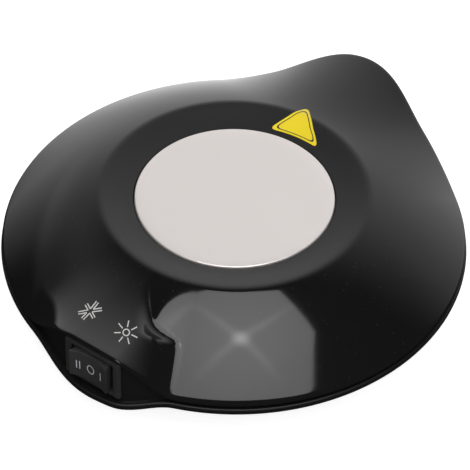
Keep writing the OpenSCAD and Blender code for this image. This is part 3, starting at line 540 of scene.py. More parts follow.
class Effects:
    """Node groups that several finishes share, each built once."""

    def __init__(self) -> None:
        """Builds the groups."""
        self.grain = self._grain()
        self.handling = self._handling()

    @staticmethod
    def _grain() -> bpy.types.NodeTree:
        """Builds the fine grain of a moulded or blasted surface: a height and a mottle."""
        tree, nodes = new_group("surface_grain", {"Scale": 3000.0, "Detail": 2.0}, ("Height", "Mottle"))
        source = nodes.add("NodeGroupInput")
        place = nodes.place()
        scale, detail = source.outputs["Scale"], source.outputs["Detail"]
        fine = nodes.add("TexNoise", {"Vector": place, "Scale": scale, "Detail": detail, "Roughness": 0.55})
        cells = nodes.add("TexVoronoi", {"Vector": place, "Scale": nodes.math("MULTIPLY", scale, 0.6)},
                          feature="SMOOTH_F1")
        height = nodes.math("ADD", nodes.math("MULTIPLY", fine.outputs[0], 0.7),
                            nodes.math("MULTIPLY", cells.outputs["Distance"], 0.3))
        wide = nodes.add("TexNoise", {"Vector": place, "Scale": 38.0, "Detail": 3.0, "Roughness": 0.6})
        nodes.add("NodeGroupOutput", {"Height": height, "Mottle": wide.outputs[0]})
        return tree

    @staticmethod
    def _handling() -> bpy.types.NodeTree:
        """Builds the faint wipe marks and dust of use: a smear and a dust mask."""
        tree, nodes = new_group("handling_marks", {"Scale": 1.0}, ("Smear", "Dust"))
        scale = nodes.add("NodeGroupInput").outputs["Scale"]
        place = nodes.place()
        long_way = nodes.add("Mapping", {"Vector": place, "Rotation": (0.0, 0.0, 0.6),
                                         "Scale": (30.0, 9.0, 20.0)})
        smear = nodes.add("TexNoise", {"Vector": long_way.outputs[0], "Scale": scale, "Detail": 4.0,
                                       "Roughness": 0.65, "Distortion": 0.6})
        specks = nodes.add("TexVoronoi", {"Vector": place, "Scale": nodes.math("MULTIPLY", scale, 420.0)})
        dust = nodes.ramp(specks.outputs["Distance"], 0.05, 0.10, 1.0, 0.0)
        normal = nodes.add("SeparateXYZ", {0: nodes.add("NewGeometry").outputs["Normal"]})
        upward = nodes.ramp(normal.outputs[2], 0.5, 0.95)
        nodes.add("NodeGroupOutput", {"Smear": nodes.ramp(smear.outputs[0], 0.35, 0.75),
                                      "Dust": nodes.math("MULTIPLY", dust, upward)})
        return tree


@dataclass(frozen=True)
class Finish:
    """A plain finish: colour, gloss and grain of one material.

    The grain's height is in metres. The mottle and the unevenness say by how much colour and
    roughness vary over the surface.
    """

    name: str
    colour: tuple[float, float, float]
    roughness: float
    metallic: float = 0.0
    grain_scale: float = 3000.0
    grain_height: float = 0.00002
    mottle: float = 0.15
    uneven: float = 0.08
    coat: float = 0.0
    coat_roughness: float = 0.05
    specular: float = 0.5
    dust: float = 0.0
    dust_colour: tuple[float, float, float, float] = (0.45, 0.43, 0.40, 1.0)

    def colour_field(self, nodes: Nodes, mottle: Socket, specks: Socket) -> Socket:
        """Returns the colour, varied a little by the mottle and dulled by dust."""
        low = tuple(c * (1 - self.mottle) for c in self.colour) + (1.0,)
        high = tuple(min(1.0, c * (1 + self.mottle)) for c in self.colour) + (1.0,)
        colour = nodes.mix_colours(mottle, low, high)
        if self.dust:
            colour = nodes.mix_colours(nodes.math("MULTIPLY", specks, self.dust), colour, self.dust_colour)
        return colour

    def roughness_field(self, nodes: Nodes, smear: Socket) -> Socket:
        """Returns the roughness, varied a little by wipe marks."""
        return nodes.ramp(smear, 0.0, 1.0, self.roughness, min(1.0, self.roughness + self.uneven))

    def height_field(self, nodes: Nodes, grain: Socket) -> Socket:
        """Returns the height that the bump follows."""
        return grain

    def build(self, effects: Effects) -> bpy.types.Material:
        """Builds the material.

        Args:
            effects: The shared node groups.

        Returns:
            The material.
        """
        material, nodes = new_material(self.name)
        grain = nodes.add("Group", node_tree=effects.grain)
        grain.inputs["Scale"].default_value = self.grain_scale
        marks = nodes.add("Group", node_tree=effects.handling)
        height = self.height_field(nodes, grain.outputs["Height"])
        bump = nodes.add("Bump", {"Height": height, "Strength": 1.0, "Distance": self.grain_height})
        shader = nodes.add("BsdfPrincipled", {
            "Base Color": self.colour_field(nodes, grain.outputs["Mottle"], marks.outputs["Dust"]),
            "Roughness": self.roughness_field(nodes, marks.outputs["Smear"]),
            "Metallic": self.metallic, "Normal": bump.outputs[0], "Specular IOR Level": self.specular})
        if self.coat:
            shader.inputs["Coat Weight"].default_value = self.coat
            shader.inputs["Coat Roughness"].default_value = self.coat_roughness
        nodes.add("OutputMaterial", {"Surface": shader.outputs[0]})
        return material


@dataclass(frozen=True)
class CoverFinish(Finish):
    """Glossy black moulding whose dished ring is satin."""

    ring_roughness: float = 0.42
    ring_end: Flat = (0.0420, 0.0440)
    wave: float = 0.00025
    wave_scale: float = 34.0

    def ring_mask(self, nodes: Nodes) -> Socket:
        """Returns 1 on the dished ring and 0 on the flank."""
        place = nodes.add("SeparateXYZ", {0: nodes.place()})
        return nodes.ramp(nodes.distance(place.outputs[0], place.outputs[1]), *self.ring_end, 1.0, 0.0)

    def roughness_field(self, nodes: Nodes, smear: Socket) -> Socket:
        """Returns the roughness: satin on the ring, glossy on the flank."""
        glossy = Finish.roughness_field(self, nodes, smear)
        return nodes.add("Mix", {0: self.ring_mask(nodes), 2: glossy, 3: self.ring_roughness}).outputs[0]

    def height_field(self, nodes: Nodes, grain: Socket) -> Socket:
        """Returns the grain on the ring, and on the flank the slow waves of a moulding."""
        wave = nodes.add("TexNoise", {"Vector": nodes.place(), "Scale": self.wave_scale, "Detail": 1.0})
        slow = nodes.math("MULTIPLY", wave.outputs[0], self.wave / self.grain_height)
        fine = nodes.math("MULTIPLY", grain, self.ring_mask(nodes))
        return nodes.math("ADD", fine, slow)


@dataclass(frozen=True)
class BrushedFinish(Finish):
    """Bare metal with marks that run one way."""

    stretch: tuple[float, float, float] = (1.0, 30.0, 1.0)
    brush_scale: float = 300.0

    def height_field(self, nodes: Nodes, grain: Socket) -> Socket:
        """Returns the height of the brush marks with the grain."""
        way = nodes.add("Mapping", {"Vector": nodes.place(), "Scale": self.stretch})
        marks = nodes.add("TexNoise", {"Vector": way.outputs[0], "Scale": self.brush_scale, "Detail": 3.0})
        brushed = nodes.math("MULTIPLY", marks.outputs[0], 0.8)
        return nodes.math("ADD", brushed, nodes.math("MULTIPLY", grain, 0.2))


FINISHES: tuple[Finish, ...] = (
    CoverFinish("cover_gloss", (0.006, 0.006, 0.0065), 0.07, grain_scale=5200.0, grain_height=0.000012,
                uneven=0.03, dust=0.05),
    Finish("base_matte", (0.005, 0.005, 0.0053), 0.38, specular=0.35, grain_scale=2600.0, dust=0.04),
    Finish("plate_metal", (0.95, 0.892, 0.868), 0.42, metallic=0.8, grain_scale=7000.0, grain_height=0.00001,
           mottle=0.02, uneven=0.06),
    Finish("seal_rubber", (0.02, 0.02, 0.02), 0.7),
    Finish("sticker", (0.90, 0.70, 0.01), 0.33, grain_height=0.000004, mottle=0.03, coat=0.3,
           coat_roughness=0.15),
    Finish("sticker_ink", (0.02, 0.02, 0.02), 0.4, grain_height=0.000002),
    Finish("mark_ink", (0.60, 0.59, 0.58), 0.45, grain_height=0.000002, mottle=0.02),
    Finish("rocker_ink", (0.30, 0.31, 0.33), 0.45, grain_height=0.000002, mottle=0.04),
    Finish("foam", (0.80, 0.78, 0.72), 0.95, grain_scale=1500.0, grain_height=0.0002),
    Finish("thermal_pad", (0.52, 0.52, 0.50), 0.7, grain_scale=1800.0),
    Finish("ceramic", (0.88, 0.88, 0.86), 0.45, mottle=0.03),
    Finish("pellets", (0.35, 0.35, 0.37), 0.45, metallic=1.0),
    Finish("lead_jacket", (0.45, 0.03, 0.02), 0.45, mottle=0.08),
    BrushedFinish("sink_metal", (0.60, 0.61, 0.63), 0.38, metallic=1.0, stretch=(1.0, 40.0, 40.0)),
    BrushedFinish("screw_steel", (0.55, 0.55, 0.57), 0.30, metallic=1.0, stretch=(1.0, 1.0, 8.0),
                  brush_scale=900.0),
    Finish("fan_plastic", (0.018, 0.018, 0.019), 0.42, grain_scale=2800.0),
    Finish("magnet", (0.10, 0.10, 0.11), 0.6),
    BrushedFinish("shaft_steel", (0.70, 0.70, 0.72), 0.18, metallic=1.0, stretch=(1.0, 1.0, 30.0)),
    Finish("bronze", (0.62, 0.45, 0.22), 0.4, metallic=1.0),
    BrushedFinish("copper", (0.70, 0.36, 0.18), 0.3, metallic=1.0, stretch=(1.0, 1.0, 60.0),
                  brush_scale=220.0),
    Finish("circuit_board", (0.03, 0.16, 0.06), 0.35, grain_scale=1600.0, coat=0.4),
    Finish("switch_plastic", (0.020, 0.020, 0.0205), 0.38, specular=0.4, grain_scale=3600.0,
           grain_height=0.00001),
    Finish("rocker_plastic", (0.024, 0.024, 0.0245), 0.40, specular=0.4, grain_scale=3600.0,
           grain_height=0.00001),
    Finish("white_plastic", (0.82, 0.81, 0.76), 0.45, mottle=0.03),
    Finish("jack_plastic", (0.012, 0.012, 0.012), 0.4),
    Finish("capacitor_sleeve", (0.05, 0.07, 0.20), 0.25, coat=0.5),
    Finish("fuse_body", (0.60, 0.42, 0.08), 0.3),
    Finish("foot_rubber", (0.022, 0.022, 0.022), 0.72, grain_scale=2000.0, grain_height=0.00004),
)


class Dresser:
    """Gives pieces and carried-over nodes their materials and bodies."""

    def __init__(self, frame: dict) -> None:
        """Builds every finish and remembers the frame.
        """
        effects = Effects()
        self.frame = frame
        self.materials = {finish.name: finish.build(effects) for finish in FINISHES}
        self.slots = {part["node"]: part["material_slot"] for part in frame["record"]["subparts"]}
        self.replaced: set[str] = set()

    def paint(self, made: bpy.types.Object, finish: str) -> None:
        """Gives an object one finish."""
        made.data.materials.clear()
        made.data.materials.append(self.materials[finish])

    def place(self, made: bpy.types.Object, finish: str, body: Body = Body.HOUSING, slot: str | None = None,
              stands_for: str | None = None) -> None:
        """Dresses a new piece and lets it ride on its body.

        Args:
            made: The piece.
            finish: Name of its finish.
            body: The body that it rides on.
            slot: The record's material slot, if it isn't the finish's name; not used.
            stands_for: The node that it replaces, if any.
        """
        self.paint(made, finish)
        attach(made, body.value)
        if stands_for:
            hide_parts(stands_for)
            self.replaced.add(stands_for)
        LOG.info("%s rides on %s, %d faces", made.name, body.value, len(made.data.polygons))

    def dress_nodes(self) -> None:
        """Gives every node the finish of its slot, and shades those that stay in view."""
        for name, node in self.frame["nodes"].items():
            self.paint(node, self.slots[name])
            if name not in self.replaced:
                finish_shading(node.data, NODE_CREASE)


# ---- The pieces ----


@dataclass
class Cover:
    """Glossy cover: dished ring, crest, flank with two raised lobes, and lip."""

    dresser: Dresser
    steps: int = 540
    ring_steps: int = 8
    crest_steps: int = 8
    flank_steps: int = 26
    thickness: float = 1.8
    thin_at: float = 0.93
    full_at: tuple[float, ...] = (0.84, 0.66, 0.44, 0.22)
    lip: float = 1.0
    lip_t: float = 1.0
    lip_round: float = 0.15
    rim_t: float = 1.1
    edge_round: float = 1.0
    edge_drop: float = 0.75
    edge_steps: int = 7
    hole_round: float = 0.35
    crest_in: float = 2.0
    crest_extra: float = 0.6
    seal_top: float = 33.6
    seat_r: float = 36.5
    post_xy: Flat = (34.0, 22.0)
    post_r: Flat = (1.55, 3.4)
    post_z: Flat = (27.3, 35.6)
    boss_r: Flat = (1.55, 3.8)
    boss_low: float = 17.2
    boss_gap: float = 0.9

    def section(self, angle: float) -> Loop:
        """Returns the closed section of the cover at a plan angle."""
        def below(radius: float, drop: float) -> Point:
            """Returns the point at a radius that lies below the flank by a drop."""
            return SHAPE.at(angle, radius, SHAPE.flank(angle, radius) - drop)

        edge = SHAPE.cover_edge(angle)
        inner, last = edge - self.lip_t, edge - self.edge_round
        start = SHAPE.hole_r + self.hole_round
        low, high = SHAPE.crest_r - SHAPE.crest_soft, SHAPE.crest_r + SHAPE.crest_soft
        radii = [start + (low - start) * i / self.ring_steps for i in range(self.ring_steps)]
        radii += [low + (high - low) * i / self.crest_steps for i in range(self.crest_steps)]
        radii += [high + (last - high) * i / self.flank_steps for i in range(self.flank_steps)]
        top = [SHAPE.at(angle, r, SHAPE.skin(angle, r)) for r in radii]
        rim, lip_low = below(edge, 0.0), below(edge, self.lip)
        corner = bend(below(last, 0.0), rim, below(edge, self.edge_drop), self.edge_steps)
        under = rounded_corner(rim, lip_low, SHAPE.at(angle, inner, lip_low[2]), self.lip_round, 2)
        under.append(below(inner, self.rim_t))
        thin = (self.rim_t + self.thickness) / 2
        for share, drop in ((self.thin_at, thin), *((share, self.thickness) for share in self.full_at)):
            under.append(below(SHAPE.crest_r + share * (inner - SHAPE.crest_r), drop))
        under += [SHAPE.at(angle, radius, height) for radius, height in (
            (SHAPE.crest_r - self.crest_in, SHAPE.crest_z - self.thickness - self.crest_extra),
            (self.seat_r, self.seal_top), (SHAPE.hole_r, self.seal_top))]
        hole_top = SHAPE.at(angle, SHAPE.hole_r, SHAPE.ring_low)
        hole = rounded_corner(under[-1], hole_top, top[0], self.hole_round, 3)
        return [*hole[:-1], *top, *corner, *under]

    def inner_posts(self) -> list[Mesh]:
        """Returns the posts for the heat sink's screws and the bosses for the case screws."""
        parts = []
        for post, boss in zip(four_places(*self.post_xy), four_places(*CASE_SCREW_XY)):
            outside = math.hypot(*boss) + self.boss_r[1]
            top = SHAPE.flank(SHAPE.angle_of(*boss), outside) - self.boss_gap
            parts += [tube(self.post_r, self.post_z, post), tube(self.boss_r, (self.boss_low, top), boss)]
        return parts

    def build(self) -> None:
        """Builds the cover and dresses it."""
        shell = loft([self.section(360 * i / self.steps) for i in range(self.steps)], closed_rows=True)
        made = make_object("cover_shell", *merged([shell, *self.inner_posts()]))
        self.dresser.place(made, "cover_gloss", stands_for="top_cover")


@dataclass
class Base:
    """Matte base: edge, walls under the lobes, floor with intake grille, vents and recesses."""

    dresser: Dresser
    steps: int = 360
    wall_t: float = 1.8
    wall_gap: float = 1.9
    floor_z: float = 3.0
    floor_top: float = 5.0
    floor_r: float = 62.0
    edge_z: float = 15.3
    ledge_z: float = 17.2
    tuck: Flat = (2.3, 13.3)
    inside_z: Flat = (15.2, 13.0)
    inside_in: float = 1.6
    cut_z: Flat = (1.0, 7.0)
    switch_at: Flat = (5.5, 26.35)
    switch_half: Flat = (9.45, 6.65)
    switch_y: Flat = (-83.0, -72.0)
    jack_at: Point = (-5.5, 73.0, 25.0)
    jack_hole: Flat = (4.15, 8.0)
    grille_out: float = 27.5
    grille_hub: float = 9.0
    grille_pitch: float = 4.8
    grille_rib: float = 1.6
    grille_spoke: float = 2.2
    grille_spokes: int = 6
    vent_angles: tuple[float, ...] = (-40, -32, -12, -4, 4, 12, 32, 40)
    vent_span: Flat = (63.5, 70.0)
    vent_half: float = 1.5
    vent_top: float = 14.2
    foot_xy: Flat = (36.5, 36.5)
    foot_recess: Flat = (6.1, 3.8)
    fan_xy: Flat = (25.0, 25.0)
    fan_hole: tuple[Flat, ...] = ((3.8, 1.0), (3.8, 4.5), (2.05, 4.5), (2.05, 7.0))
    fan_seat: tuple[Flat, Flat] = ((2.05, 4.0), (4.6, 5.5))
    column: tuple[Flat, ...] = ((3.1, 3.6), (4.4, 3.6), (4.4, 17.0), (1.7, 17.0), (1.7, 9.0), (3.1, 9.0))
    board_post: tuple[Flat, Flat] = ((1.12, 3.0), (4.6, 17.0))
    board_x: float = 18.0
    board_y: Flat = (40.0, 55.0)

    def section(self, angle: float) -> Loop:
        """Returns the section of the base at a plan angle, from the floor's underside to its top."""
        edge, wall, inner = SHAPE.base_edge(angle), SHAPE.wall(angle, 0), SHAPE.wall(angle, self.wall_t)
        top = max(self.ledge_z + 1, min(SHAPE.flank(angle, wall), SHAPE.flank(angle, inner)) - self.wall_gap)
        # Radius and height of each corner, then the size and the steps of its rounding.
        corners = (
            (self.floor_r - 1, self.floor_z, 0, 0), (self.floor_r + 0.4, self.floor_z + 0.05, 0.6, 3),
            (edge - self.tuck[0], self.tuck[1], 2.0, 4), (edge, self.edge_z, 0.95, 5),
            (edge, self.ledge_z, 0.95, 6), (wall, self.ledge_z, 0.2, 2), (wall, top, 0.2, 2),
            (inner, top, 0, 0), (inner, self.inside_z[0], 0, 0),
            (inner - self.inside_in, self.inside_z[1], 0, 0), (self.floor_r - 0.6, self.floor_top, 0, 0))
        places = [SHAPE.at(angle, radius, height) for radius, height, _, _ in corners]
        loop: Loop = []
        for k, (_, _, size, count) in enumerate(corners):
            loop += rounded_corner(*places[k - 1:k + 2], size, count) if count else [places[k]]
        return loop

    def shell(self) -> bpy.types.Object:
        """Builds the closed shell before anything is cut from it."""
        loops = [self.section(360 * i / self.steps) for i in range(self.steps)]
        points, faces = loft(loops, closed_row=False, closed_rows=True)
        size = len(loops[0])
        low, high = len(points), len(points) + 1
        points += [(0.0, 0.0, self.floor_z), (0.0, 0.0, self.floor_top)]
        for i in range(self.steps):
            k = (i + 1) % self.steps
            faces.append((i * size, k * size, low))
            faces.append((k * size + size - 1, i * size + size - 1, high))
        return make_object("base_shell", points, faces)

    def arc_slot(self, radii: Flat, start: float, end: float) -> Mesh:
        """Returns a curved slot cutter between two radii and two plan angles."""
        inner, outer = radii
        low, high = self.cut_z
        count = max(4, round((end - start) / 4))
        loops = [[SHAPE.at(start + (end - start) * i / count, radius, height) for radius, height in
                  ((inner, low), (outer, low), (outer, high), (inner, high))] for i in range(count + 1)]
        return loft(loops, capped=True)

    def block(self, x: Flat, y: Flat, z: Flat, turn: float = 0.0) -> Mesh:
        """Returns a plain block cutter, turned about Z."""
        c, s = math.cos(math.radians(turn)), math.sin(math.radians(turn))
        plan = ((x[0], y[0]), (x[1], y[0]), (x[1], y[1]), (x[0], y[1]))
        return loft([[(c * a - s * b, s * a + c * b, height) for a, b in plan] for height in z], capped=True)

    def grille(self) -> list[Mesh]:
        """Returns the cutters of the intake grille under the fan."""
        parts = []
        sector = 360 / self.grille_spokes
        for ring in range(int((self.grille_out - self.grille_hub) // self.grille_pitch)):
            inner = self.grille_hub + ring * self.grille_pitch + self.grille_rib
            outer = self.grille_hub + (ring + 1) * self.grille_pitch
            half = math.degrees(math.asin(self.grille_spoke / (inner + outer)))
            for k in range(self.grille_spokes):
                first = sector * (k + 0.5)
                parts.append(self.arc_slot((inner, outer), first + half, first + sector - half))
        return parts

    def cutters(self) -> bpy.types.Object:
        """Builds everything that is cut from the shell as one mesh."""
        parts = self.grille()
        low, high = self.cut_z
        vent = (self.vent_span, (-self.vent_half, self.vent_half), (low, self.vent_top))
        parts += [self.block(*vent, side + angle) for side in (0, 180) for angle in self.vent_angles]
        recess_r, recess_top = self.foot_recess
        quarters = (four_places(*xy) for xy in (self.foot_xy, CASE_SCREW_XY, self.fan_xy))
        for foot, screw, fan in zip(*quarters):
            parts.append(turned_piece([(recess_r, low), (recess_r, recess_top)], foot, 48))
            parts.append(turned_piece([(self.column[0][0], low), (self.column[0][0], high)], screw, 40))
            parts.append(turned_piece(self.fan_hole, fan, 40))
        (x, z), (half_w, half_h) = self.switch_at, self.switch_half
        parts.append(self.block((x - half_w, x + half_w), self.switch_y, (z - half_h, z + half_h)))
        jack_r, jack_depth = self.jack_hole
        points, faces = turned_piece([(jack_r, 0.0), (jack_r, jack_depth)], steps=48)
        jack_x, jack_y, jack_z = self.jack_at
        parts.append(([(jack_x + a, jack_y + c, jack_z + b) for a, b, c in points], faces))
        return make_object("base_cutters", *merged(parts))

    def inner_tubes(self) -> list[Mesh]:
        """Returns the screw columns, fan seats and board posts that stand on the floor."""
        parts = [turned_piece(self.column, place, 40, True) for place in four_places(*CASE_SCREW_XY)]
        parts += [tube(*self.fan_seat, place) for place in four_places(*self.fan_xy)]
        parts += [tube(*self.board_post, (side * self.board_x, y)) for side in (-1, 1) for y in self.board_y]
        return parts

    def build(self) -> None:
        """Builds the base, cuts it and dresses it."""
        made, cutter = self.shell(), self.cutters()
        cut = made.modifiers.new("cuts", "BOOLEAN")
        cut.operation, cut.object, cut.solver = "DIFFERENCE", cutter, "EXACT"
        apply_modifiers(made)
        bpy.data.objects.remove(cutter)
        join_into(made, make_object("tubes", *merged(self.inner_tubes())))
        self.dresser.place(made, "base_matte", stands_for="base_cover")


@dataclass
class CupPlate:
    """Round metal plate that the cup stands on."""

    dresser: Dresser
    radius: float = 32.0
    flange_r: float = 35.0
    low: float = 31.4
    flange_top: float = 32.8
    top: float = 36.0
    edge: float = 0.55
    edge_steps: int = 6
    middle: float = 0.01
    steps: int = 192

    def build(self) -> None:
        """Builds the plate with its softly turned edge and dresses it."""
        profile = [(self.middle, self.low), (self.flange_r, self.low), (self.flange_r, self.flange_top),
                   (self.radius, self.flange_top), (self.radius, self.top - self.edge)]
        for i in range(1, self.edge_steps + 1):
            turn = math.pi / 2 * i / self.edge_steps
            profile.append((self.radius - self.edge + self.edge * math.cos(turn),
                            self.top - self.edge + self.edge * math.sin(turn)))
        profile += [(self.radius * k, self.top) for k in (0.9, 0.7, 0.4, 0.1)] + [(self.middle, self.top)]
        made = make_object("cup_plate_disc", *turned_piece(profile, steps=self.steps))
        self.dresser.place(made, "plate_metal", stands_for="cup_plate")


@dataclass
class RockerSwitch:
    """Rocker switch set upright in the front wall: its housing, rocker and marks.

    Its own frame has its origin on the rocker's pivot, with depths counted inward from there.
    """

    dresser: Dresser
    pivot: Point = (5.5, -75.9, 26.35)
    bezel: Flat = (21.0, 15.0)
    bezel_t: float = 1.2
    mouth: Flat = (16.0, 11.4)
    body: Flat = (18.6, 13.0)
    rear: Flat = (15.6, 13.0)
    rear_low: Flat = (15.6, 11.8)
    cavity: Flat = (13.5, 11.4)
    cavity_low: Flat = (13.5, 10.2)
    rear_y: float = 1.2
    low_y: float = 5.1
    step: float = 0.8
    front: float = -3.2
    back: float = 10.5
    floor: float = 9.0
    half: float = 7.2
    rocker_h: float = 10.6
    top: float = 5.5
    dish: float = 1.5
    face_steps: int = 40
    rocker_back: tuple[Flat, ...] = ((6.7, -3.5), (6.3, -0.6), (2.2, 1.0), (2.2, 3.6))
    rocker_ease: float = 0.35
    rocker_crease: float = 40.0
    pin: Flat = (1.0, 6.35)
    ink_lifts: Flat = (0.01, 0.025)
    ink_w: float = 0.36
    bars_at: tuple[float, ...] = (-4.85, -3.8, 4.35)
    bar_half: float = 1.7
    zero_at: float = 0.15
    zero_r: Flat = (1.25, 1.65)

    def placed(self, points: Iterable[Point]) -> list[Point]:
        """Returns points moved from the switch's own frame to the part's."""
        x, y, z = self.pivot
        return [(x + a, y + b, z + c) for a, b, c in points]

    def face(self, a: float) -> float:
        """Returns the depth of the rocker's hollow face at a place across it."""
        radius = (self.half ** 2 + self.dish ** 2) / (2 * self.dish)
        return self.dish - self.top - radius + math.sqrt(radius ** 2 - a * a)

    def housing(self) -> None:
        """Builds the switch's body with its bezel and mouth as one lofted solid."""
        behind, step, deep = self.front + self.bezel_t, self.rear_y - self.step, self.low_y - self.step
        # Size, growth on every side, corner radius and depth of each outline, from the back to the floor.
        rows = (
            (self.rear_low, -4, 0.5, self.back), (self.rear_low, 0, 0.6, self.back),
            (self.rear_low, 0, 0.6, self.low_y), (self.rear, 0, 0.6, self.low_y),
            (self.rear, 0, 0.6, self.rear_y), (self.body, 0, 0.6, self.rear_y),
            (self.body, 0, 0.6, behind), (self.bezel, 0, 0.7, behind),
            (self.bezel, 0, 0.7, self.front + 0.35), (self.bezel, -0.1, 0.65, self.front + 0.1),
            (self.bezel, -0.35, 0.5, self.front), (self.mouth, 0.35, 0.5, self.front),
            (self.mouth, 0.1, 0.4, self.front + 0.08), (self.mouth, 0, 0.35, self.front + 0.3),
            (self.mouth, 0, 0.35, step), (self.cavity, 0, 0.35, step), (self.cavity, 0, 0.35, deep),
            (self.cavity_low, 0, 0.35, deep), (self.cavity_low, 0, 0.35, self.floor),
            (self.cavity_low, -4, 0.3, self.floor))
        loops = [[(a, depth, c) for a, c in rounded_rectangle(size[0] + 2 * by, size[1] + 2 * by, radius)]
                 for size, by, radius, depth in rows]
        points, faces = loft(loops, capped=True)
        made = make_object("switch_housing", self.placed(points), faces)
        self.dresser.place(made, "switch_plastic", stands_for="switch_body")

    def rocker(self) -> None:
        """Builds the rocker with its hollow face, eased edges and pins."""
        across = [self.half * (2 * i / self.face_steps - 1) for i in range(self.face_steps + 1)]
        outline = [(a, self.face(a)) for a in across]
        outline += [*self.rocker_back, *((-a, b) for a, b in reversed(self.rocker_back))]
        loops = [[(a, b, c) for a, b in outline] for c in (-self.rocker_h / 2, self.rocker_h / 2)]
        points, faces = loft(loops, capped=True)
        made = make_object("rocker_cap", self.placed(points), faces)
        ease = made.modifiers.new("eased_edges", "BEVEL")
        ease.width, ease.segments = self.rocker_ease * MM, 3
        ease.limit_method, ease.angle_limit = "ANGLE", math.radians(30)
        apply_modifiers(made, self.rocker_crease)
        radius, reach = self.pin
        points, faces = turned_piece([(radius, -reach), (radius, reach)], steps=32)
        join_into(made, make_object("rocker_pins", self.placed(points), faces), self.rocker_crease)
        self.dresser.place(made, "rocker_plastic", Body.ROCKER, stands_for="switch_rocker")

    def marks(self) -> None:
        """Builds the position marks II, O and I on the rocker's face."""
        bars = [straight_path((a, -self.bar_half), (a, self.bar_half), 8) for a in self.bars_at]
        zero = oval_path((self.zero_at, 0.0), self.zero_r, 40)

        def lay(a: float, c: float, lift: float) -> Point:
            """Returns the point over the rocker's face for a place across and up."""
            return (a, self.face(a) - lift, c)

        points, faces = merged(ink_strip(path, self.ink_w, self.ink_lifts, path is zero, lay)
                               for path in (*bars, zero))
        made = make_object("rocker_marks", self.placed(points), faces)
        self.dresser.place(made, "rocker_ink", Body.ROCKER, slot="rocker_plastic")

    def build(self) -> None:
        """Builds the switch."""
        self.housing()
        self.rocker()
        self.marks()


@dataclass
class CoverPrint:
    """Marks printed on the ridge over the switch: a snowflake and a sun.

    Lengths in a mark's own plane are in units of right and up, which lay them on the ridge.
    """

    dresser: Dresser
    lifts: Flat = (0.005, 0.03)
    sun_at: Flat = (9.5, -67.15)
    snow_at: Flat = (-5.0, -66.8)
    right: Flat = (0.233, 0.195)
    up: Flat = (-0.264, 0.330)
    line: float = 1.15
    sun_r: float = 3.3
    rays: int = 7
    ray_start: float = 78.0
    ray_span: Flat = (5.6, 12.2)
    flake_arms: tuple[Flat, ...] = ((7, 12.0), (50, 11.6), (118, 8.3), (187, 12.0), (227, 11.3), (298, 8.4))
    flake_gap: float = 1.3

    def stroke(self, centre: Flat, path: Sequence[Flat], closed: bool = False) -> Mesh:
        """Returns a printed stroke of a mark, laid on the cover."""
        def lay(u: float, v: float, lift: float) -> Point:
            """Returns the point over the ridge for a place in the mark's plane."""
            return SHAPE.over(centre[0] + u * self.right[0] + v * self.up[0],
                              centre[1] + u * self.right[1] + v * self.up[1], lift)

        return ink_strip(path, self.line, self.lifts, closed, lay)

    def sun(self) -> list[Mesh]:
        """Returns the sun: a ring and its rays."""
        parts = [self.stroke(self.sun_at, oval_path((0.0, 0.0), (self.sun_r, self.sun_r), 32), closed=True)]
        first, last = self.ray_span
        for k in range(self.rays):
            turn = math.radians(self.ray_start + 360 / self.rays * k)
            c, s = math.cos(turn), math.sin(turn)
            ray = straight_path((first * c, first * s), (last * c, last * s))
            parts.append(self.stroke(self.sun_at, ray))
        return parts

    def snowflake(self) -> list[Mesh]:
        """Returns the snowflake: six chevrons, whose legs leave a gap along each arm."""
        parts = []
        ways = [(Vector((math.cos(math.radians(turn)), math.sin(math.radians(turn)))), reach)
                for turn, reach in self.flake_arms]
        for k, (first, first_reach) in enumerate(ways):
            second, second_reach = ways[(k + 1) % len(ways)]
            tip = (first + second) * (self.flake_gap / first.cross(second))
            for way, reach, side in ((first, first_reach, 1), (second, second_reach, -1)):
                end = way * reach + Vector((-way.y, way.x)) * side * self.flake_gap
                parts.append(self.stroke(self.snow_at, straight_path(tuple(tip), tuple(end))))
        return parts

    def build(self) -> None:
        """Builds both marks."""
        for name, parts in (("sun_mark", self.sun()), ("snow_mark", self.snowflake())):
            self.dresser.place(make_object(name, *merged(parts)), "mark_ink", slot="cover_gloss")


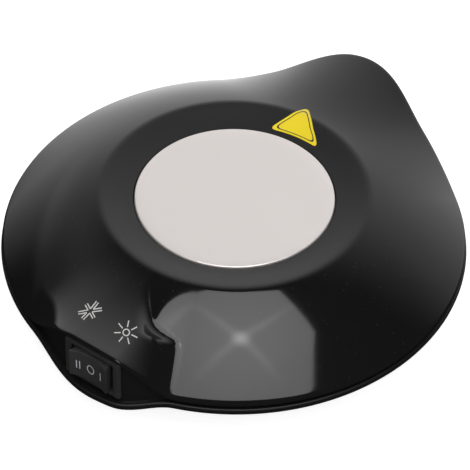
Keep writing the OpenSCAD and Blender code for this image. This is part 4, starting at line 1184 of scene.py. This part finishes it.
@dataclass
class Sticker:
    """Blank triangular sticker laid over the ring and its crest, with a printed border."""

    dresser: Dresser
    corners: tuple[Flat, ...] = ((-10.6, 32.4), (7.5, 34.3), (-5.6, 47.2))
    middle: Flat = (-3.0, 38.0)
    hollow: float = 1.2
    hollow_depth: float = 6.0
    corner_size: float = 2.4
    low: float = 0.02
    high: float = 0.14
    border_in: float = 0.75
    border_w: float = 0.32
    border_lifts: Flat = (0.005, 0.02)
    rings: int = 16
    corner_steps: int = 6
    side_steps: int = 20

    def outline(self, inset: float) -> list[Flat]:
        """Returns the sticker's outline, drawn in by an inset and bowed along the plate."""
        a, b, c = (Vector(p) for p in self.corners)
        lines = []
        for start, end, across in ((a, b, c), (b, c, a), (c, a, b)):
            way = (end - start).normalized()
            inward = Vector((-way.y, way.x))
            if inward.dot(across - start) < 0:
                inward.negate()
            lines.append((start + inward * inset, way))
        meets = []
        for k in range(3):
            (p, d), (q, e) = lines[k - 1], lines[k]
            meets.append(p + d * ((q.x - p.x) * e.y - (q.y - p.y) * e.x) / (d.x * e.y - d.y * e.x))
        points: list[Flat] = []
        for k in range(3):
            here, after, before = meets[k], meets[(k + 1) % 3], meets[k - 1]
            arc = rounded_corner((*before, 0.0), (*here, 0.0), (*after, 0.0), self.corner_size,
                                 self.corner_steps)
            end = after + (here - after).normalized() * self.corner_size
            points += [(x, y) for x, y, _ in arc[:-1]]
            points += straight_path(arc[-1][:2], tuple(end), self.side_steps)[:-1]
        along_plate = (b - a).normalized()
        bowed = []
        for x, y in points:
            offset = Vector((x, y)) - a
            along = offset.dot(along_plate) / (b - a).length
            near = max(0.0, 1 - abs(offset.cross(along_plate)) / self.hollow_depth)
            bowed.append((x, y + self.hollow * near * max(0.0, 4 * along * (1 - along))))
        return bowed

    def film(self) -> None:
        """Builds the yellow film."""
        edge = self.outline(0.0)
        mx, my = self.middle

        def row(share: float, lift: float) -> Loop:
            """Returns the outline drawn towards the film's middle, at a lift."""
            return [SHAPE.over(mx + (x - mx) * share, my + (y - my) * share, lift) for x, y in edge]

        shares = [k / self.rings for k in range(1, self.rings + 1)]
        loops = [row(share, self.high) for share in shares]
        loops += [row(share, self.low) for share in reversed(shares)]
        made = make_object("sticker_film", *loft(loops, capped=True))
        self.dresser.place(made, "sticker", stands_for="hazard_sticker")

    def border(self) -> None:
        """Builds the thin printed line inside the film's edge."""
        outer, inner = self.outline(self.border_in), self.outline(self.border_in + self.border_w)
        low, high = (self.high + lift for lift in self.border_lifts)
        loops = [[SHAPE.over(x, y, lift) for x, y in line]
                 for line, lift in ((outer, low), (outer, high), (inner, high), (inner, low))]
        made = make_object("sticker_border", *loft(loops, closed_rows=True))
        self.dresser.place(made, "sticker_ink", slot="sticker")

    def build(self) -> None:
        """Builds the sticker."""
        self.film()
        self.border()


@dataclass
class Feet:
    """Four rubber feet with rounded edges and hollow faces."""

    dresser: Dresser
    xy: Flat = (36.5, 36.5)
    profile: tuple[Flat, ...] = ((0.01, 0.6), (2.3, 0.6), (2.7, 0.45), (2.9, 0.0), (5.3, 0.0), (5.75, 0.18),
                                 (6.0, 0.6), (6.0, 3.8), (0.01, 3.8))

    def build(self) -> None:
        """Builds the feet and dresses them."""
        parts = [turned_piece(self.profile, place, 56) for place in four_places(*self.xy)]
        self.dresser.place(make_object("foot_pads", *merged(parts)), "foot_rubber", stands_for="rubber_feet")


# ---- Stage ----


@dataclass
class Stage:
    """Floor, world, lamps and camera.

    The target, the camera's distance and the softbox's outline, centre and height are in
    millimetres. The panels, the floor's size and the softbox's spans and widths are in metres.
    """

    target: Point = (0.82, -0.59, 19.6)
    distance: float = 960.0
    azimuth: float = 36.5
    elevation: float = 44.44
    roll: float = 0.97
    lens: float = 228.2
    sensor: float = 36.0
    window_azimuth: float = 49.0
    window_at: Flat = (1.3, 0.93)
    window_size: Flat = (2.1, 1.9)
    overhead_at: Flat = (0.28, 1.5)
    overhead_size: Flat = (1.2, 1.3)
    matte_level: float = 1.5
    softbox_outline: tuple[Flat, ...] = (
        (317, -131), (738, 340), (866, 990), (920, 1250),
        (-780, 1250), (-726, 990), (-598, 340), (-177, -131))
    softbox_centre: Flat = (70, 474)
    softbox_height: float = 1500.0
    gloss_level: float = 3.0
    cloth_span: Flat = (0.1, 0.9)
    cloth_level: Flat = (1.08, 0.86)
    fold_width: float = 0.09
    fold_level: float = 0.36
    fold_span: Flat = (0.05, 0.75)
    lamp_width: float = 0.11
    lamp_level: float = 1.5
    floor_size: float = 6.0
    floor_grey: float = 0.80
    floor_glow: float = 0.72
    fill: float = 0.42
    back_way: Point = (-0.4226, 0.9063, 0.0)
    back_span: Flat = (0.20, 1.00)
    front_glow: float = 0.02
    back_glow: float = 1.03

    def back_level(self, nodes: Nodes, way: Socket) -> Socket:
        """Returns how bright the gloss shows the surroundings: pale behind the object, dark in front.

        Args:
            nodes: The node tree that it goes into.
            way: The direction, or the place on the floor.

        Returns:
            The level.
        """
        unit = nodes.add("VectorMath", {0: way}, operation="NORMALIZE").outputs[0]
        back = nodes.add("VectorMath", {0: unit, 1: self.back_way}, operation="DOT_PRODUCT").outputs["Value"]
        return nodes.ramp(back, *self.back_span, self.front_glow, self.back_glow)

    def level_way(self, azimuth: float) -> Vector:
        """Returns the level direction from the object at an azimuth."""
        turn = math.radians(azimuth)
        return Vector((math.sin(turn), -math.cos(turn), 0.0))

    def floor(self) -> None:
        """Builds the plain pale floor."""
        half = self.floor_size / 2 / MM
        made = make_object("floor", [(-half, -half, 0), (half, -half, 0), (half, half, 0), (-half, half, 0)],
                           [(0, 1, 2, 3)])
        material, nodes = new_material("floor_pale")
        plain = nodes.add("BsdfDiffuse", {"Color": (self.floor_grey,) * 3 + (1.0,)}).outputs[0]
        lit = nodes.add("AddShader", {0: plain, 1: nodes.white("Emission", self.floor_glow)}).outputs[0]
        mirrored = nodes.white("Emission", self.back_level(nodes, nodes.place()))
        paths = nodes.add("LightPath").outputs
        first = nodes.mix_shaders(paths["Is Glossy Ray"], plain, mirrored)
        nodes.add("OutputMaterial", {"Surface": nodes.mix_shaders(paths["Is Camera Ray"], first, lit)})
        made.data.materials.append(material)

    def world(self) -> None:
        """Builds the world: white behind the object, a soft studio for reflections, even fill light."""
        world = bpy.data.worlds.new("studio")
        bpy.context.scene.world = world
        world.use_nodes = True
        nodes = Nodes(world.node_tree)
        glossy = nodes.white("Background", self.back_level(nodes, nodes.add("TexCoord").outputs["Generated"]))
        paths = nodes.add("LightPath").outputs
        first = nodes.mix_shaders(paths["Is Glossy Ray"], nodes.white("Background", self.fill), glossy)
        clear = nodes.math("MAXIMUM", paths["Is Camera Ray"], paths["Is Transmission Ray"])
        nodes.add("OutputWorld", {"Surface": nodes.mix_shaders(clear, first, nodes.white("Background", 1.0))})

    def softbox(self) -> None:
        """Places the eight-sided softbox that the gloss shows, brighter at its lamp and along its folds."""
        way = self.level_way(self.azimuth)
        side = Vector((-way.y, way.x, 0.0))
        up = Vector((0.0, 0.0, self.softbox_height))
        corners = [tuple(side * a + way * b + up) for a, b in self.softbox_outline]
        made = make_object("softbox", corners, [tuple(range(len(corners)))])
        material, nodes = new_material("softbox_cloth")
        place = nodes.place()

        def offset(along: Vector, start: float) -> Socket:
            """Returns how far a point lies from the middle along one way, without its sign."""
            reach = nodes.add("VectorMath", {0: place, 1: tuple(along)}, operation="DOT_PRODUCT")
            return nodes.math("ABSOLUTE", nodes.math("SUBTRACT", reach.outputs["Value"], start * MM))

        across, ahead = offset(side, self.softbox_centre[0]), offset(way, self.softbox_centre[1])
        away = nodes.distance(across, ahead)
        off_fold = nodes.math("ABSOLUTE", nodes.math("SUBTRACT", across, ahead))
        fold = nodes.ramp(off_fold, 0.0, self.fold_width, self.fold_level, 0.0)
        folds = nodes.math("MULTIPLY", fold, nodes.ramp(away, *self.fold_span, 1.0, 0.0))
        lamp = nodes.ramp(away, 0.0, self.lamp_width, self.lamp_level, 0.0)
        cloth = nodes.ramp(away, *self.cloth_span, *self.cloth_level)
        level = nodes.math("ADD", nodes.math("ADD", cloth, folds), lamp)
        glow = nodes.white("Emission", nodes.math("MULTIPLY", level, self.gloss_level))
        nodes.add("OutputMaterial", {"Surface": glow})
        made.data.materials.append(material)
        made.visible_camera = made.visible_diffuse = made.visible_shadow = False
        made.visible_transmission = made.visible_volume_scatter = False

    def panel(self, name: str, centre: Vector, facing: Vector, size: Flat) -> None:
        """Places one soft panel that lights matte surfaces.

        Args:
            name: Name of the panel.
            centre: Its centre in metres.
            facing: The way that its back points.
            size: Width and height in metres.
        """
        data = bpy.data.lights.new(name, "AREA")
        data.shape = "RECTANGLE"
        data.size, data.size_y = size
        data.energy = self.matte_level * math.pi * size[0] * size[1]
        lamp = bpy.data.objects.new(name, data)
        lamp.location = centre
        lamp.rotation_mode = "QUATERNION"
        lamp.rotation_quaternion = facing.to_track_quat("Z", "Y")
        lamp.visible_glossy = False
        bpy.context.scene.collection.objects.link(lamp)

    def lamps(self) -> None:
        """Places the softbox and the two panels for matte surfaces."""
        way, up = self.level_way(self.window_azimuth), Vector((0.0, 0.0, 1.0))
        self.panel("window", way * self.window_at[0] + up * self.window_at[1], way, self.window_size)
        self.panel("overhead", way * self.overhead_at[0] + up * self.overhead_at[1], up, self.overhead_size)
        self.softbox()

    def camera(self) -> None:
        """Places the camera at the photograph's angle."""
        data = bpy.data.cameras.new("camera")
        data.lens, data.sensor_width = self.lens, self.sensor
        made = bpy.data.objects.new("camera", data)
        rise = math.radians(self.elevation)
        back = self.level_way(self.azimuth) * math.cos(rise) + Vector((0.0, 0.0, math.sin(rise)))
        made.location = (Vector(self.target) + back * self.distance) * MM
        made.rotation_mode = "QUATERNION"
        turn = Matrix.Rotation(math.radians(self.roll), 3, "Z").to_quaternion()
        made.rotation_quaternion = (-back).to_track_quat("-Z", "Y") @ turn
        bpy.context.scene.collection.objects.link(made)
        bpy.context.scene.camera = made

    def build(self) -> None:
        """Builds the stage."""
        self.camera()
        self.floor()
        self.world()
        self.lamps()
        bpy.context.scene.view_settings.view_transform = "Standard"


def clear_scene() -> None:
    """Removes what a new file starts with."""
    for made in list(bpy.data.objects):
        bpy.data.objects.remove(made)


def main() -> None:
    """Builds every piece in order."""
    logging.basicConfig(level=logging.INFO, format="%(name)s: %(message)s")
    clear_scene()
    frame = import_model()
    dresser = Dresser(frame)
    Stage().build()
    for piece in (Cover, Base, CupPlate, RockerSwitch, CoverPrint, Sticker, Feet):
        piece(dresser).build()
    dresser.dress_nodes()


if __name__ == "__main__":
    main()
